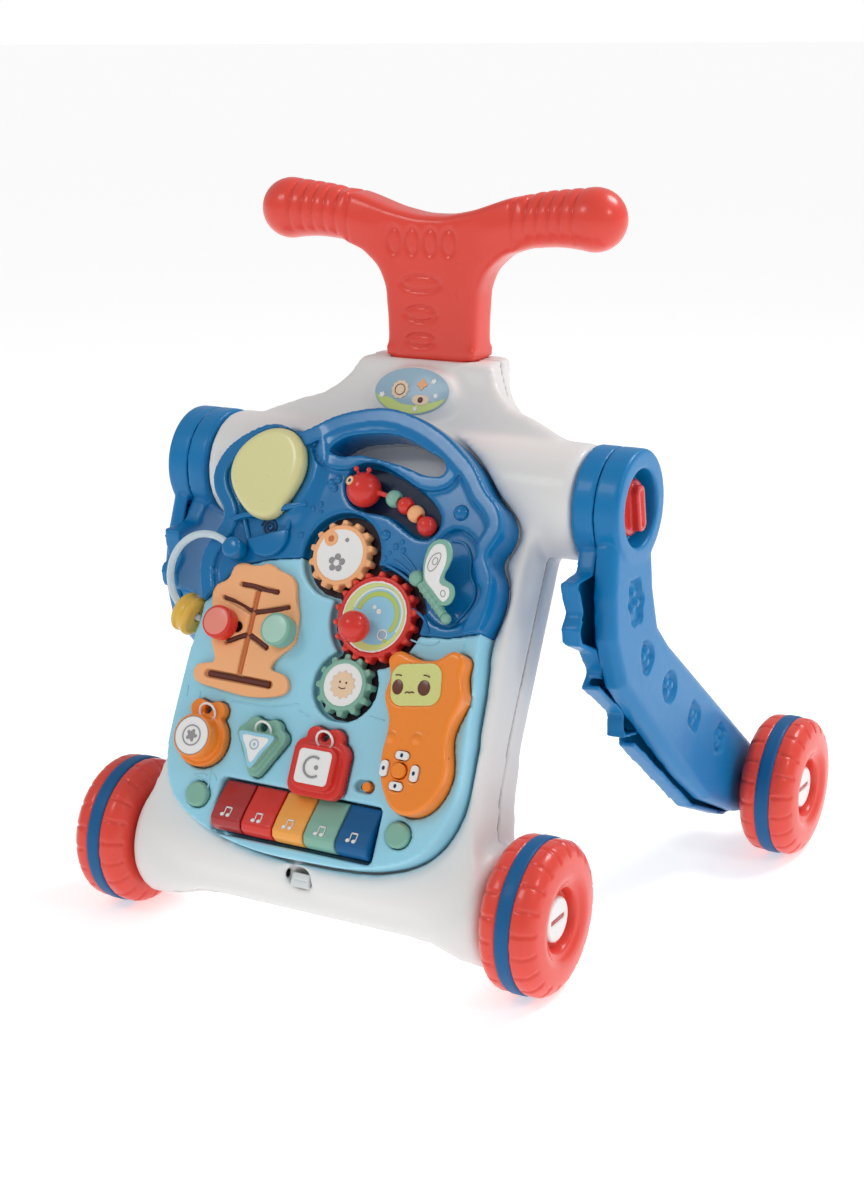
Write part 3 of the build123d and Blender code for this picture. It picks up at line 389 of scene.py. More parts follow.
def smoothLoop(points, steps=6):
    ring = []
    count = len(points)
    for i in range(count):
        before, start, end, after = (Vector(points[(i + k) % count]) for k in (-1, 0, 1, 2))
        for step in range(steps):
            t = step / steps
            ring.append(tuple(0.5 * (
                2 * start + (end - before) * t + (2 * before - 5 * start + 4 * end - after) * t ** 2
                + (3 * start - before - 3 * end + after) * t ** 3
            )))
    return ring


def plate(outline, low, high, bevel=0.0, place=trayFrame):
    # a flat sheet in the tray frame: outline filled, pulled up and eased at its edges
    bpy.ops.object.select_all(action="DESELECT")
    bpy.ops.mesh.primitive_circle_add(vertices=len(outline), radius=1, fill_type="NGON")
    piece = bpy.context.object
    for vertex, (x, u) in zip(piece.data.vertices, outline):
        vertex.co = (x * mm, u * mm, low * mm)
    bpy.ops.object.mode_set(mode="EDIT")
    bpy.ops.mesh.select_all(action="SELECT")
    bpy.ops.mesh.extrude_region_move(TRANSFORM_OT_translate={"value": (0, 0, (high - low) * mm)})
    bpy.ops.mesh.select_all(action="SELECT")
    bpy.ops.mesh.normals_make_consistent(inside=False)
    bpy.ops.object.mode_set(mode="OBJECT")
    if bevel:
        ease = piece.modifiers.new("edge", "BEVEL")
        ease.width = bevel * mm
        ease.segments = 3
        ease.limit_method = "ANGLE"
        ease.angle_limit = math.radians(50)
        applyAll(piece)
    only(piece)
    bpy.ops.object.shade_smooth_by_angle(angle=math.radians(35))
    piece.data.transform(place)
    return piece


def line(points, radius, place=trayFrame, closed=False):
    # a round bead of plastic along a smooth path
    bpy.ops.object.select_all(action="DESELECT")
    bpy.ops.curve.primitive_nurbs_path_add()
    piece = bpy.context.object
    piece.data.splines.clear()
    spline = piece.data.splines.new("NURBS")
    spline.points.add(len(points) - 1)
    for point, (x, u, h) in zip(spline.points, points):
        point.co = (x * mm, u * mm, h * mm, 1)
    spline.order_u = 3
    spline.use_cyclic_u = closed
    spline.use_endpoint_u = not closed
    spline.resolution_u = 8
    piece.data.bevel_depth = radius * mm
    piece.data.bevel_resolution = 3
    piece.data.use_fill_caps = True
    only(piece)
    bpy.ops.object.convert(target="MESH")
    piece = bpy.context.object
    piece.matrix_world = Matrix.Identity(4)
    bpy.ops.object.mode_set(mode="EDIT")
    bpy.ops.mesh.select_all(action="SELECT")
    bpy.ops.mesh.remove_doubles(threshold=0.000005)
    bpy.ops.mesh.normals_make_consistent(inside=False)
    bpy.ops.object.mode_set(mode="OBJECT")
    bpy.ops.object.shade_smooth_by_angle(angle=math.radians(50))
    piece.data.transform(place)
    return piece


def ball(x, u, h, radius, squash=1.0, place=trayFrame, segments=24):
    bpy.ops.object.select_all(action="DESELECT")
    bpy.ops.mesh.primitive_uv_sphere_add(segments=segments, ring_count=segments // 2, radius=radius * mm)
    piece = bpy.context.object
    bpy.ops.object.shade_smooth()
    local = Matrix.Translation((x * mm, u * mm, h * mm)) @ Matrix.Diagonal((1, 1, squash, 1))
    piece.data.transform(place @ local)
    return piece


def hoop(x, u, h, major, minor, tilt=0.0, place=trayFrame):
    bpy.ops.object.select_all(action="DESELECT")
    bpy.ops.mesh.primitive_torus_add(
        major_radius=major * mm, minor_radius=minor * mm, major_segments=56, minor_segments=14,
    )
    piece = bpy.context.object
    bpy.ops.object.shade_smooth()
    local = Matrix.Translation((x * mm, u * mm, h * mm)) @ Matrix.Rotation(math.radians(tilt), 4, "X")
    piece.data.transform(place @ local)
    return piece


def bundle(pieces, name, body, material, stands=()):
    only(*pieces)
    if len(pieces) > 1:
        bpy.ops.object.join()
    return settle(pieces[0], name, body, material, stands)


def trayPoints(points):
    # world millimetres to x, u, h on the tray face
    y = points[:, 1] + 224.5
    z = points[:, 2]
    s, c = math.sin(trayLean), math.cos(trayLean)
    return points[:, 0], s * y + c * z, -c * y + s * z


def step(value, low, high):
    t = np.clip((value - low) / (high - low), 0, 1)
    return t * t * (3 - 2 * t)


def pathDistance(x, u, points, closed=True):
    best = np.full(len(x), 1e9)
    ends = points[1:] + points[:1] if closed else points[1:]
    for (ax, au), (bx, bu) in zip(points, ends):
        dx, du = bx - ax, bu - au
        t = np.clip(((x - ax) * dx + (u - au) * du) / (dx * dx + du * du), 0, 1)
        best = np.minimum(best, np.hypot(x - ax - t * dx, u - au - t * du))
    return best


def insideLoop(x, u, points):
    inside = np.zeros(len(x), bool)
    for (ax, au), (bx, bu) in zip(points, points[1:] + points[:1]):
        crosses = (au > u) != (bu > u)
        inside ^= crosses & (x < (bx - ax) * (u - au) / ((bu - au) or 1e-9) + ax)
    return inside


# body and handle
bodyForm = {"voxel": 2.3, "rounds": 26, "seamHeight": -50, "seamHold": 3.5}


def nearSeam(points):
    h = trayPoints(points)[2]
    return np.abs(h - bodyForm["seamHeight"]) < bodyForm["seamHold"]


for shell in ("front_shell", "rear_shell"):
    softSkin(shell, "body_" + shell, "white_body", bodyForm["voxel"], bodyForm["rounds"], held=nearSeam)
print("body eased")

handleForm = {
    "ridges": (61, 70, 78.5, 87, 95, 104),
    "ridgeDepth": 1.9,
    "ridgeWidth": 1.25,
    "tallOvals": ((-25.5, 433), (-12, 433), (1.5, 433), (15, 433)),
    "wideOvals": ((-6, 405.5, 13.5, 5.2), (-6, 385.5, 11.0, 4.8), (-6, 368, 9.6, 4.2)),
    "ovalDepth": 1.5,
}


def handleRelief(points, normals):
    x, y, z = points.T
    shift = np.zeros(len(x))
    around = np.clip(0.25 + 0.75 * normals[:, 2] + 0.6 * np.abs(normals[:, 1]), 0, 1)
    for place in handleForm["ridges"]:
        groove = np.exp(-((np.abs(x) - place) / handleForm["ridgeWidth"]) ** 2)
        shift -= handleForm["ridgeDepth"] * groove * around
    front = step(-normals[:, 1], 0.5, 0.9)
    ovals = [(ox, oz, 4.6, 8.2) for ox, oz in handleForm["tallOvals"]] + list(handleForm["wideOvals"])
    for ox, oz, rx, rz in ovals:
        reach = np.hypot((x - ox) / rx, (z - oz) / rz)
        edge = (reach - 1) * min(rx, rz)
        shift -= handleForm["ovalDepth"] * np.exp(-(edge / 0.9) ** 2) * front
    return shift


def forkOnly(points):
    x, y, z = points.T
    return (np.abs(x) < 74) & (z > 364)


softSkin("push_handle", "handle_grip", "coral_red", 1.25, 14, relief=handleRelief, more=(110, forkOnly))
print("handle eased")


# legs
legForm = {
    # y, z, half width, half height, lobes
    "emblems": (
        (-41, 223, 11, 15, 6), (-28.6, 184.3, 9.5, 10.5, 3), (3.8, 155.4, 11.5, 10, 0),
        (41.5, 123.9, 10, 9.5, 4), (83.3, 95.7, 11, 10, 5),
    ),
    "depth": 2.6,
}


def legRelief(points, normals):
    x, y, z = points.T
    shift = np.zeros(len(x))
    face = step(np.abs(normals[:, 0]), 0.8, 0.97) * (np.sign(normals[:, 0]) == np.sign(x))
    for ey, ez, ry, rz, lobes in legForm["emblems"]:
        angle = np.arctan2(z - ez, y - ey)
        bound = 1 + 0.1 * np.cos(lobes * angle) if lobes else 1.0
        reach = np.hypot((y - ey) / ry, (z - ez) / rz) / bound
        edge = (1 - reach) * min(ry, rz)
        dip = step(edge, -0.6, 0.9)
        motif = np.zeros(len(x))
        for turn in range(3):
            a = 2.1 * turn + lobes
            my, mz = ey + 0.38 * ry * math.cos(a), ez + 0.38 * rz * math.sin(a)
            motif = np.maximum(motif, step(3.1 - np.hypot(y - my, z - mz), -0.6, 0.9))
        shift -= legForm["depth"] * dip * (1 - 0.85 * motif) * face
    return shift


for side in ("left", "right"):
    softSkin("leg_outer_" + side, "leg_cover_" + side, "leg_blue", 1.15, 7, relief=legRelief)
    softSkin("leg_inner_" + side, "leg_back_" + side, "leg_blue", 1.7, 3)
    softSkin("lock_knob_" + side, "lock_dial_" + side, "toy_red", 0.8, 5)
print("legs eased")


# wheels
wheelForm = {"treads": 20, "treadWidth": 1.15, "treadDepth": 0.9, "radius": 48.8}
wheelPlaces = {"front": (150, -140.5), "rear": (206.5, 140.5)}

for row, (wx, wy) in wheelPlaces.items():
    for side, sign in (("left", -1), ("right", 1)):
        body = "wheel_" + row + "_" + side

        def treadRelief(points, normals, cx=sign * wx, cy=wy):
            x, y, z = points[:, 0] - cx, points[:, 1] - cy, points[:, 2] - wheelForm["radius"]
            reach = np.hypot(y, z)
            pitch = 2 * math.pi / wheelForm["treads"]
            turned = np.arctan2(z, y) + np.where(x > 0, 0, pitch / 2)
            off = (np.mod(turned, pitch) - pitch / 2) * reach
            band = step(np.abs(x), 6.3, 7.2) * step(reach, 38.5, 41)
            return -wheelForm["treadDepth"] * np.exp(-(off / wheelForm["treadWidth"]) ** 4) * band

        softSkin(body, "tyre_" + row + "_" + side, "coral_red", 1.15, 5, relief=treadRelief)
        softSkin("wheel_band_" + row + "_" + side, "tread_band_" + row + "_" + side, "band_blue", 0.9, 2)
        softSkin("hub_cap_" + row + "_" + side, "hub_disc_" + row + "_" + side, "white_trim", 0.6, 2)
        face = Matrix.Translation((sign * wx * mm, wy * mm, wheelForm["radius"] * mm)) @ Matrix(
            ((0, 0, sign, 0), (1, 0, 0, 0), (0, 1, 0, 0), (0, 0, 0, 1))
        )
        bar = plate(tablet(0, 0, 19, 4, 1.8), 12.4, 13.7, 0.5, place=face)
        only(bar)
        bpy.ops.object.mode_set(mode="EDIT")
        bpy.ops.mesh.select_all(action="SELECT")
        bpy.ops.mesh.normals_make_consistent(inside=False)
        bpy.ops.object.mode_set(mode="OBJECT")
        settle(bar, "hub_bar_" + row + "_" + side, body, finishes["dark_red"])
print("wheels eased")


# tray shells
lensLine = smoothLoop([
    (-80, 293), (-94, 305), (-101, 319), (-99, 333), (-89, 345), (-75, 351.5), (-61, 350),
    (-50, 339), (-47.5, 323), (-54, 305), (-62, 293),
], 3)
balloonForm = {"bandHeight": 5.0, "bandMiddle": 5.2, "bandWidth": 3.6}


def upperRelief(points, normals):
    x, u, h = trayPoints(points)
    facing = -normals[:, 1] * math.cos(trayLean) + normals[:, 2] * math.sin(trayLean)
    top = step(facing, 0.6, 0.9) * (h > -1)
    away = pathDistance(x, u, lensLine)
    away[insideLoop(x, u, lensLine)] = 99
    width = balloonForm["bandWidth"] + 1.6 * step(x, -70, -45)
    middle = balloonForm["bandMiddle"] + 2.2 * step(x, -70, -45)
    low = step(u, 288, 298)
    lift = balloonForm["bandHeight"] * np.exp(-((away - middle) / width) ** 2) * low
    lift = np.minimum(lift, np.maximum(0, 5.4 - h))
    return lift * top


softSkin("tray_upper_shell", "tray_cloud", "deep_blue", 1.1, 6, relief=upperRelief)
softSkin("tray_lower_shell", "tray_meadow", "light_blue", 1.3, 4)
softSkin("balloon_lens", "balloon_window", "lens_yellow", 0.9, 10)
softSkin("bead_loop", "loop_tube", "tube_blue", 0.8, 3)
softSkin("loop_bead", "loop_roller", "bead_yellow", 0.7, 3)
softSkin("tray_latch", "latch_slide", "white_trim", 0.5, 3)
for node, name in (
    ("tray_back_cover", "white_body"), ("battery_door", "white_body"), ("speaker_board", "board"),
    ("front_axle", "steel"), ("rear_axle_left", "steel"), ("rear_axle_right", "steel"),
    ("body_fasteners", "steel"),
):
    nodes[node].data.materials.clear()
    nodes[node].data.materials.append(finishes[name])
print("tray shells eased")


# balloon, basket and bubbles on the upper shell
basketForm = {"bar": 2.1, "strut": 1.5, "spiral": 0.75, "turns": 2.3, "spiralReach": 6.4}
bars = [
    line([(-96, 286.5, 3), (-91, 289.5, 4.6), (-84.5, 292, 4.8), (-70.9, 295.5, 4.8), (-57.4, 299.8, 4.8),
          (-46, 303.5, 4.6), (-41.5, 305, 3)], basketForm["bar"]),
    line([(-85.3, 289.5, 2.4), (-82, 283, 2.4), (-78, 275.5, 2.2)], basketForm["strut"]),
    line([(-51, 300, 2.4), (-51.2, 292, 2.4), (-52, 285, 2.2)], basketForm["strut"]),
]
bowl = [(-64.9 + 15.2 * math.cos(t) * 0.941 - 15.5 * math.sin(t) * 0.339,
         282.3 + 15.2 * math.cos(t) * 0.339 + 15.5 * math.sin(t) * 0.941)
        for t in (math.pi + math.pi * i / 26 for i in range(27))]
bars.append(plate(bowl, 0.2, 5.0, 2.2))
bundle(bars, "balloon_basket", "tray", finishes["deep_blue"])
bundle([plate(oval(-84.9, 269, 7.3, 7.3, count=48), 0.4, 13.1, 3.4)], "loop_socket", "tray",
       finishes["deep_blue"])
spiral = []
for i in range(34):
    t = i / 33
    a = 2 * math.pi * basketForm["turns"] * t + 1.2
    r = 0.9 + (basketForm["spiralReach"] - 0.9) * t
    spiral.append((-65.7 + r * math.cos(a), 286.8 + 0.92 * r * math.sin(a), 1.2))
bundle([line(spiral, basketForm["spiral"])], "basket_spiral", "tray", printsAndShades["navy"])

bubbles = (
    (-27.5, 320.3, 3.4), (-23.2, 323.6, 3.0), (-24.6, 317.5, 2.6), (-36.8, 302.6, 2.0), (-32, 306, 2.0),
    (-30.5, 300.8, 1.7), (-41.2, 284.6, 2.0), (68.7, 311.3, 5.2), (56.1, 329.6, 2.1), (60.6, 333.4, 1.7),
    (19.8, 291.5, 3.4), (28.8, 285.1, 2.2), (34.6, 283.2, 2.0), (32.5, 288.4, 1.7), (22.8, 276.8, 1.8),
    (25.6, 280.6, 1.4),
)
bundle([ball(x, u, 0.9, r, 0.72) for x, u, r in bubbles], "cloud_bubbles", "tray",
       finishes["deep_blue"])
ribs = [
    line([(34, 281, 0.9), (41, 277, 1.3), (47.5, 270.5, 0.9)], 1.0),
    line([(29.5, 276.3, 0.9), (38, 272.8, 1.3), (46, 267.5, 0.9)], 1.0),
    line([(25, 272.3, 0.9), (35, 269.8, 1.3), (45, 264, 0.9)], 1.0),
    line([(50, 247.5, 0.9), (58, 244.5, 1.2), (63, 238, 1.2), (64.5, 234, 0.9)], 1.0),
    line([(65, 293.5, -2.8), (73.5, 295, -2.6), (81, 284.5, -2.6), (81.5, 274, -2.6), (89, 265.5, -2.6),
          (87, 253, -2.6), (79, 244, -2.8)], 1.1),
]
bundle(ribs, "cloud_ribs", "tray", finishes["deep_blue"])

recess = smoothLoop([
    (-14, 329), (-2, 334.8), (24, 327.8), (47, 314.5), (54.8, 303.5), (49.5, 293.8), (34, 296.2),
    (16, 304.7), (-2, 306.2), (-13, 313),
], 4)
bundle([plate(recess, -8.98, -8.6)], "crawler_shade", "tray", printsAndShades["navy"])
wells = {"orange": (-8.87, 274.86, 27.8), "red": (25.4, 239, 32.8), "green": (14.23, 193.86, 22.8)}
bundle([plate(oval(x, u, r, r, count=64), -7.5 + 0.02 * i, -7.2 + 0.02 * i)
        for i, (x, u, r) in enumerate(wells.values())], "gear_well_shade", "tray", printsAndShades["wellShade"])

softSkin("crawler", "crawler_toy", "toy_red", 0.6, 4)
eyeFrame = trayFrame @ Matrix.Translation((-5.2 * mm, 320.0 * mm, 1.5 * mm)) @ Matrix.Rotation(
    math.radians(-14), 4, "Y") @ Matrix.Rotation(math.radians(-8), 4, "X")
bundle([hoop(-1.0, 0, 10.4, 2.7, 0.45, place=eyeFrame)], "crawler_eye_ring", "tray",
       finishes["key_yellow"])
bundle([plate(oval(-1.0, 0, 2.5, 2.5), 9.6, 10.55, 0.3, place=eyeFrame)], "crawler_eye_white", "tray",
       printsAndShades["paper"])
bundle([ball(-1.0, 0, 10.5, 1.4, 0.5, place=eyeFrame)], "crawler_eye", "tray", printsAndShades["brown"])
feelers = []
for tip in (-7.2, 2.0):
    feelers += [line([(-2.6 + (tip + 2.6) * 0.5, 326, 6), (tip, 329.6, 8.5)], 0.9), ball(tip, 330, 8.8, 1.7)]
bundle(feelers, "crawler_feelers", "tray", finishes["toy_red"])
for colour, name in (("green", "sage_green"), ("red", "toy_red"), ("orange", "tree_peach")):
    softSkin("bead_" + colour, "crawler_bead_" + colour, name, 0.45, 2)
print("upper shell dressed")


# gears and their picture discs
for colour, name in (("red", "toy_red"), ("orange", "tree_peach"), ("green", "sage_green")):
    softSkin("gear_" + colour, "toy_gear_" + colour, name, 0.65, 3)
gx, gu = 25.4, 239.0
beads = []
for i in range(18):
    a = math.radians(133.7 % 20 + 20 * i)
    beads.append(ball(gx + 27.6 * math.cos(a), gu + 27.6 * math.sin(a), 1.6, 1.75, segments=12))
bundle(beads, "gear_red_beads", "gear_red", finishes["coral_red"])
seat = 2.35
bundle([plate(oval(gx, gu, 23.0, 23.0, count=72), seat, seat + 0.25)], "gear_red_border", "gear_red",
       printsAndShades["paper"])
bundle([plate(oval(gx, gu, 21.6, 21.6, count=72), seat + 0.2, seat + 0.35)], "gear_red_field", "gear_red",
       printsAndShades["lime"])
bundle([plate(oval(gx + 2, gu + 1, 17.6, 18.6, count=60), seat + 0.3, seat + 0.45)], "gear_red_sky",
       "gear_red", printsAndShades["paleBlue"])


def arch(x, u, reach, width, start, end, count=30):
    outer = [(x + reach * math.cos(a), u + reach * math.sin(a))
             for a in (math.radians(start + (end - start) * i / count) for i in range(count + 1))]
    inner = [(x + (reach - width) * math.cos(a), u + (reach - width) * math.sin(a))
             for a in (math.radians(end + (start - end) * i / count) for i in range(count + 1))]
    return outer + inner


bundle([plate(arch(gx + 2, gu + 1, 15.6, 3.2, -40, 170), seat + 0.4, seat + 0.55),
        plate(oval(gx + 11, gu - 14, 1.4, 1.4), seat + 0.4, seat + 0.55)],
       "gear_red_arch", "gear_red", printsAndShades["leaf"])
bundle([plate(arch(gx + 2, gu + 1, 18.2, 1.4, -30, 170), seat + 0.4, seat + 0.55),
        plate(oval(gx + 8.5, gu - 10.5, 3.6, 3.6), seat + 0.4, seat + 0.55),
        plate(oval(gx - 1, gu + 6, 1.4, 1.4), seat + 0.45, seat + 0.6),
        plate(oval(gx + 2.6, gu + 3.6, 1.8, 1.8), seat + 0.45, seat + 0.6)],
       "gear_red_clouds", "gear_red", printsAndShades["paper"])
bundle([plate(oval(gx + 8.5, gu - 10.5, 2.7, 2.7), seat + 0.5, seat + 0.68)], "gear_red_drop", "gear_red",
       printsAndShades["skyGrey"])

ox, ou = -8.87, 274.86
bundle([plate(oval(ox, ou, 16.9, 16.9, count=60), seat, seat + 0.3)], "gear_orange_label", "gear_orange",
       printsAndShades["paper"])
petals = [plate(oval(ox - 1 + 3.9 * math.cos(a), ou - 5.4 + 3.9 * math.sin(a), 2.2, 2.2, count=24),
                seat + 0.2, seat + 0.45) for a in (math.radians(90 + 72 * i) for i in range(5))]
petals.append(plate(oval(ox + 3, ou + 10, 1.4, 1.4, count=20), seat + 0.2, seat + 0.45))
bundle(petals, "gear_orange_flower", "gear_orange", printsAndShades["grey"])
bundle([plate(oval(ox - 1, ou - 5.4, 2.1, 2.1), seat + 0.3, seat + 0.52)], "gear_orange_flower_eye",
       "gear_orange", printsAndShades["paper"])
bundle([plate(oval(ox - 8.6, ou + 9.6, 4.8, 4.8), seat + 0.2, seat + 0.5)], "gear_orange_peg_face",
       "gear_orange", finishes["tree_peach"])
# the darker disc is painted shade for the hole in the peg
bundle([plate(oval(ox - 8.6, ou + 9.6, 2.1, 2.1), seat + 0.4, seat + 0.6)], "gear_orange_peg_hole",
       "gear_orange", printsAndShades["bark"])

nx, nu = 14.23, 193.86
bundle([plate(oval(nx, nu, 13.7, 13.7, count=60), seat, seat + 0.3)], "gear_green_label", "gear_green",
       printsAndShades["paper"])
bundle([plate(lobed(nx, nu, 8.4, 12, 0.09), seat + 0.2, seat + 0.45)], "gear_green_sun", "gear_green",
       printsAndShades["beige"])
smile = [line([(nx - 2.4, nu - 1.6, seat + 0.45), (nx, nu - 3.2, seat + 0.45),
               (nx + 2.4, nu - 1.6, seat + 0.45)], 0.35)]
smile += [plate(oval(nx + s * 2.3, nu + 1.6, 0.65, 0.8, count=16), seat + 0.3, seat + 0.56) for s in (-1, 1)]
bundle(smile, "gear_green_smile", "gear_green", printsAndShades["brown"])
print("gears dressed")


# tree and its sliding knobs
crown = {"x": -61, "u": 232, "lobes": 9, "swell": 2.2}


def treeRelief(points, normals):
    x, u, h = trayPoints(points)
    facing = -normals[:, 1] * math.cos(trayLean) + normals[:, 2] * math.sin(trayLean)
    angle = np.arctan2(u - crown["u"], x - crown["x"])
    rim = step(1 - np.abs(facing), 0.3, 0.8) * step(np.hypot(x - crown["x"], u - crown["u"]), 18, 24)
    return crown["swell"] * (np.abs(np.cos(crown["lobes"] * angle / 2)) - 0.65) * rim * step(u, 212, 222)


softSkin("tree_plate", "tree_board", "tree_peach", 0.75, 3, relief=treeRelief)
grooves = {
    "maroon": [
        [(-75, 247.5), (-68, 248), (-62, 246.5), (-55, 244.8), (-47, 245.5)],
        [(-86, 237.5), (-74, 236.5), (-61.5, 230), (-49, 233), (-36.5, 236.5)],
        [(-76.5, 209), (-69, 214), (-61.5, 215.5), (-54, 213.5), (-46, 209)],
        [(-85, 187), (-60, 186.7), (-38, 186)],
    ],
    "bark": [[(-61.5, 190), (-61.5, 216), (-61.5, 244)]],
}
for shade, paths in grooves.items():
    bundle([line([(x, u, 1.5) for x, u in path], 1.95) for path in paths], "tree_groove_" + shade, "tray",
           printsAndShades[shade])
for colour, name, cap, x, u in (
    ("red", "toy_red", "pink", -80.9, 219.5), ("green", "sage_green", "mint", -36.5, 220.4),
):
    softSkin("tree_knob_" + colour, "tree_slider_" + colour, name, 0.6, 3)
    bundle([plate(oval(x, u, 8.9, 8.9, count=56), 14.1, 14.65, 0.2)], "tree_slider_cap_" + colour,
           "tree_knob_" + colour, printsAndShades[cap])
print("tree dressed")


# buttons, keys and the switch
shapes = {"circle": ("toy_orange", -78, 145, 19), "triangle": ("sage_green", -34, 146, 13),
          "square": ("toy_red", 11, 140, 20)}
for shape, (name, x, u, ear) in shapes.items():
    softSkin("shape_button_" + shape, shape + "_button", name, 0.75, 4)
    bundle([hoop(x + 1.5, u + ear - 2.2, 6.4, 5.8, 0.8, 24)], shape + "_button_ring", "shape_button_" + shape,
           finishes["white_trim"])
bundle([plate(oval(-78, 145, 12.6, 12.6, count=60), 15.2, 15.62)], "circle_button_rim",
       "shape_button_circle", printsAndShades["grey"])
bundle([plate(oval(-78, 145, 12.0, 12.0, count=60), 15.4, 15.75)], "circle_button_label",
       "shape_button_circle", printsAndShades["paper"])
bundle([hoop(-78, 145, 15.8, 6.4, 0.45), plate(lobed(-78, 145, 3.4, 5, 0.25), 15.6, 15.95)],
       "circle_button_mark", "shape_button_circle", printsAndShades["grey"])
bundle([plate(smoothLoop([(-47, 153.4), (-34, 154.2), (-21, 153.4), (-27, 143), (-34, 131.8), (-41, 143)], 5),
              10.3, 10.62)], "triangle_button_border", "shape_button_triangle", printsAndShades["paleBlue"])
bundle([plate(smoothLoop([(-43.6, 151.6), (-34, 152.2), (-24.4, 151.6), (-29, 143.6), (-34, 135.6),
                          (-39, 143.6)], 5), 10.5, 10.78)],
       "triangle_button_label", "shape_button_triangle", printsAndShades["paper"])
bundle([hoop(-34, 147, 10.8, 3.0, 0.4), ball(-34, 147, 10.7, 1.1, 0.4)], "triangle_button_mark",
       "shape_button_triangle", printsAndShades["skyGrey"])
bundle([plate(tablet(11, 140, 23.5, 21.5, 3.0), 10.3, 10.65)], "square_button_label",
       "shape_button_square", printsAndShades["paper"])
crescent = [(11 + 6.4 * math.cos(a), 140 + 6.4 * math.sin(a), 10.65)
            for a in (math.radians(60 + 250 * i / 14) for i in range(15))]
bundle([line(crescent, 0.8), ball(13.4, 140, 10.5, 1.6, 0.5)], "square_button_mark",
       "shape_button_square", printsAndShades["grey"])

keyFinishes = ("dark_red", "toy_red", "key_yellow", "sage_green", "band_blue")
for i, name in enumerate(keyFinishes):
    number = str(i + 1)
    softSkin("piano_key_" + number, "key_" + number, name, 0.8, 7)
    slope = trayFrame @ Matrix.Translation(((i - 2) * 23 * mm, 103 * mm, 4.75 * mm)) @ Matrix.Rotation(
        math.radians(-18.4), 4, "X")
    mark = [plate(oval(s * 2.1 - 0.8, -2.2, 1.5, 1.15, 20, 24), -0.3, 0.12, place=slope) for s in (-1, 1)]
    mark += [plate(tablet(s * 2.1 + 0.35, 0.4, 0.6, 5.2, 0.25), -0.3, 0.12, place=slope) for s in (-1, 1)]
    mark.append(plate(tablet(0.35, 2.8, 4.7, 1.0, 0.3), -0.3, 0.12, place=slope))
    bundle(mark, "key_mark_" + number, "piano_key_" + number, printsAndShades["paper"])
bundle([plate(tablet(0, 106.6, 117, 35, 3), -16.45, -16.2)], "key_bed_shade", "tray", finishes["band_blue"])
softSkin("corner_button_left", "round_button_left", "sage_green", 0.55, 3)
softSkin("corner_button_right", "round_button_right", "sage_green", 0.55, 3)
softSkin("slide_switch", "switch_knob", "toy_orange", 0.4, 2)
bundle([plate(tablet(43.2, 135, 13.6, 7.1, 3.4), -5.98, -5.75)], "switch_bed_shade", "tray", printsAndShades["navy"])
print("buttons dressed")


# raised lines on the lower shell
meadow = [
    [(-64.9, 172.1), (-41.9, 172.0), (-28, 174.0), (-15.4, 177.7)],
    [(-14.2, 173.8), (-10, 171.5), (-6, 171.4)],
    [(36, 177.6), (42, 176.6), (47, 176.6)],
    [(53, 228.6), (63, 226.2), (72, 228.6), (72.6, 231)],
    [(88.8, 231.5), (91.4, 229.0), (90, 226.2)],
    [(-100, 177.2), (-99.2, 170)], [(-90, 174.6), (-89.4, 169.6)],
    [(-79.4, 121.5), (-74.1, 124.0), (-70, 122.5)], [(-68.0, 126.4), (-66.8, 120), (-67.6, 114.5)],
    [(-65.1, 124.5), (-62.2, 120.6)], [(-72.5, 118.9), (-76.5, 120.5)],
]
bundle([line([(x, u, 0.0) for x, u in path], 0.55) for path in meadow], "meadow_lines", "tray",
       finishes["light_blue"])


# butterfly flap
wingLean = 20
softSkin("butterfly_wing", "wing_flap", "sage_green", 0.6, 2)
wingFrame = trayFrame @ Matrix.Translation((52.5 * mm, 264.5 * mm, 5 * mm)) @ Matrix.Rotation(
    math.atan2(-19.5, 22.5), 4, "Z") @ Matrix.Rotation(math.radians(wingLean), 4, "X")
wingPanel = smoothLoop([
    (2.5, 5.6), (-4.8, 14.5), (-6.4, 25.2), (-0.6, 31.0), (7.0, 25.6), (11.0, 14.2), (14.5, 12.6),
    (20, 15.2), (23.6, 12.6), (23.6, 7.2), (20.6, 5.4), (12, 5.2),
], 5)
bundle([plate(wingPanel, 1.0, 1.45, 0.15, place=wingFrame),
        plate(wingPanel, -1.45, -1.0, 0.15, place=wingFrame)],
       "wing_panel", "butterfly_wing", printsAndShades["paper"])
bundle([line([(x, u, 1.45) for x, u in smoothLoop([(-1, 12), (-3, 20), (1, 26), (4, 19), (3, 12)], 2)], 0.3,
             place=wingFrame, closed=True),
        line([(x, u, 1.45) for x, u in oval(1, 19, 1.8, 2.6, count=12)], 0.25, place=wingFrame, closed=True),
        line([(x, u, 1.45) for x, u in oval(19.5, 9.8, 2.0, 2.0, count=12)], 0.25, place=wingFrame, closed=True)],
       "wing_veins", "butterfly_wing", printsAndShades["grey"])
hingeFrame = trayFrame @ Matrix.Translation((52.5 * mm, 264.5 * mm, 5 * mm)) @ Matrix.Rotation(
    math.atan2(-19.5, 22.5), 4, "Z")
cuffs = []
for i in range(5):
    around = hingeFrame @ Matrix.Translation(((6 + 4.6 * i) * mm, 0, 0)) @ Matrix.Rotation(
        math.radians(90), 4, "Y")
    cuffs.append(hoop(0, 0, 0, 3.0, 0.55, place=around))
bundle(cuffs, "wing_barrel_rings", "butterfly_wing", finishes["sage_green"])
bundle([ball(-2.6, 0, 0, 5.2, place=hingeFrame, segments=14), ball(29.8 + 1.6, 0, 0, 3.5, place=hingeFrame)],
       "wing_hinge_ends", "tray", finishes["sage_green"])
print("butterfly dressed")


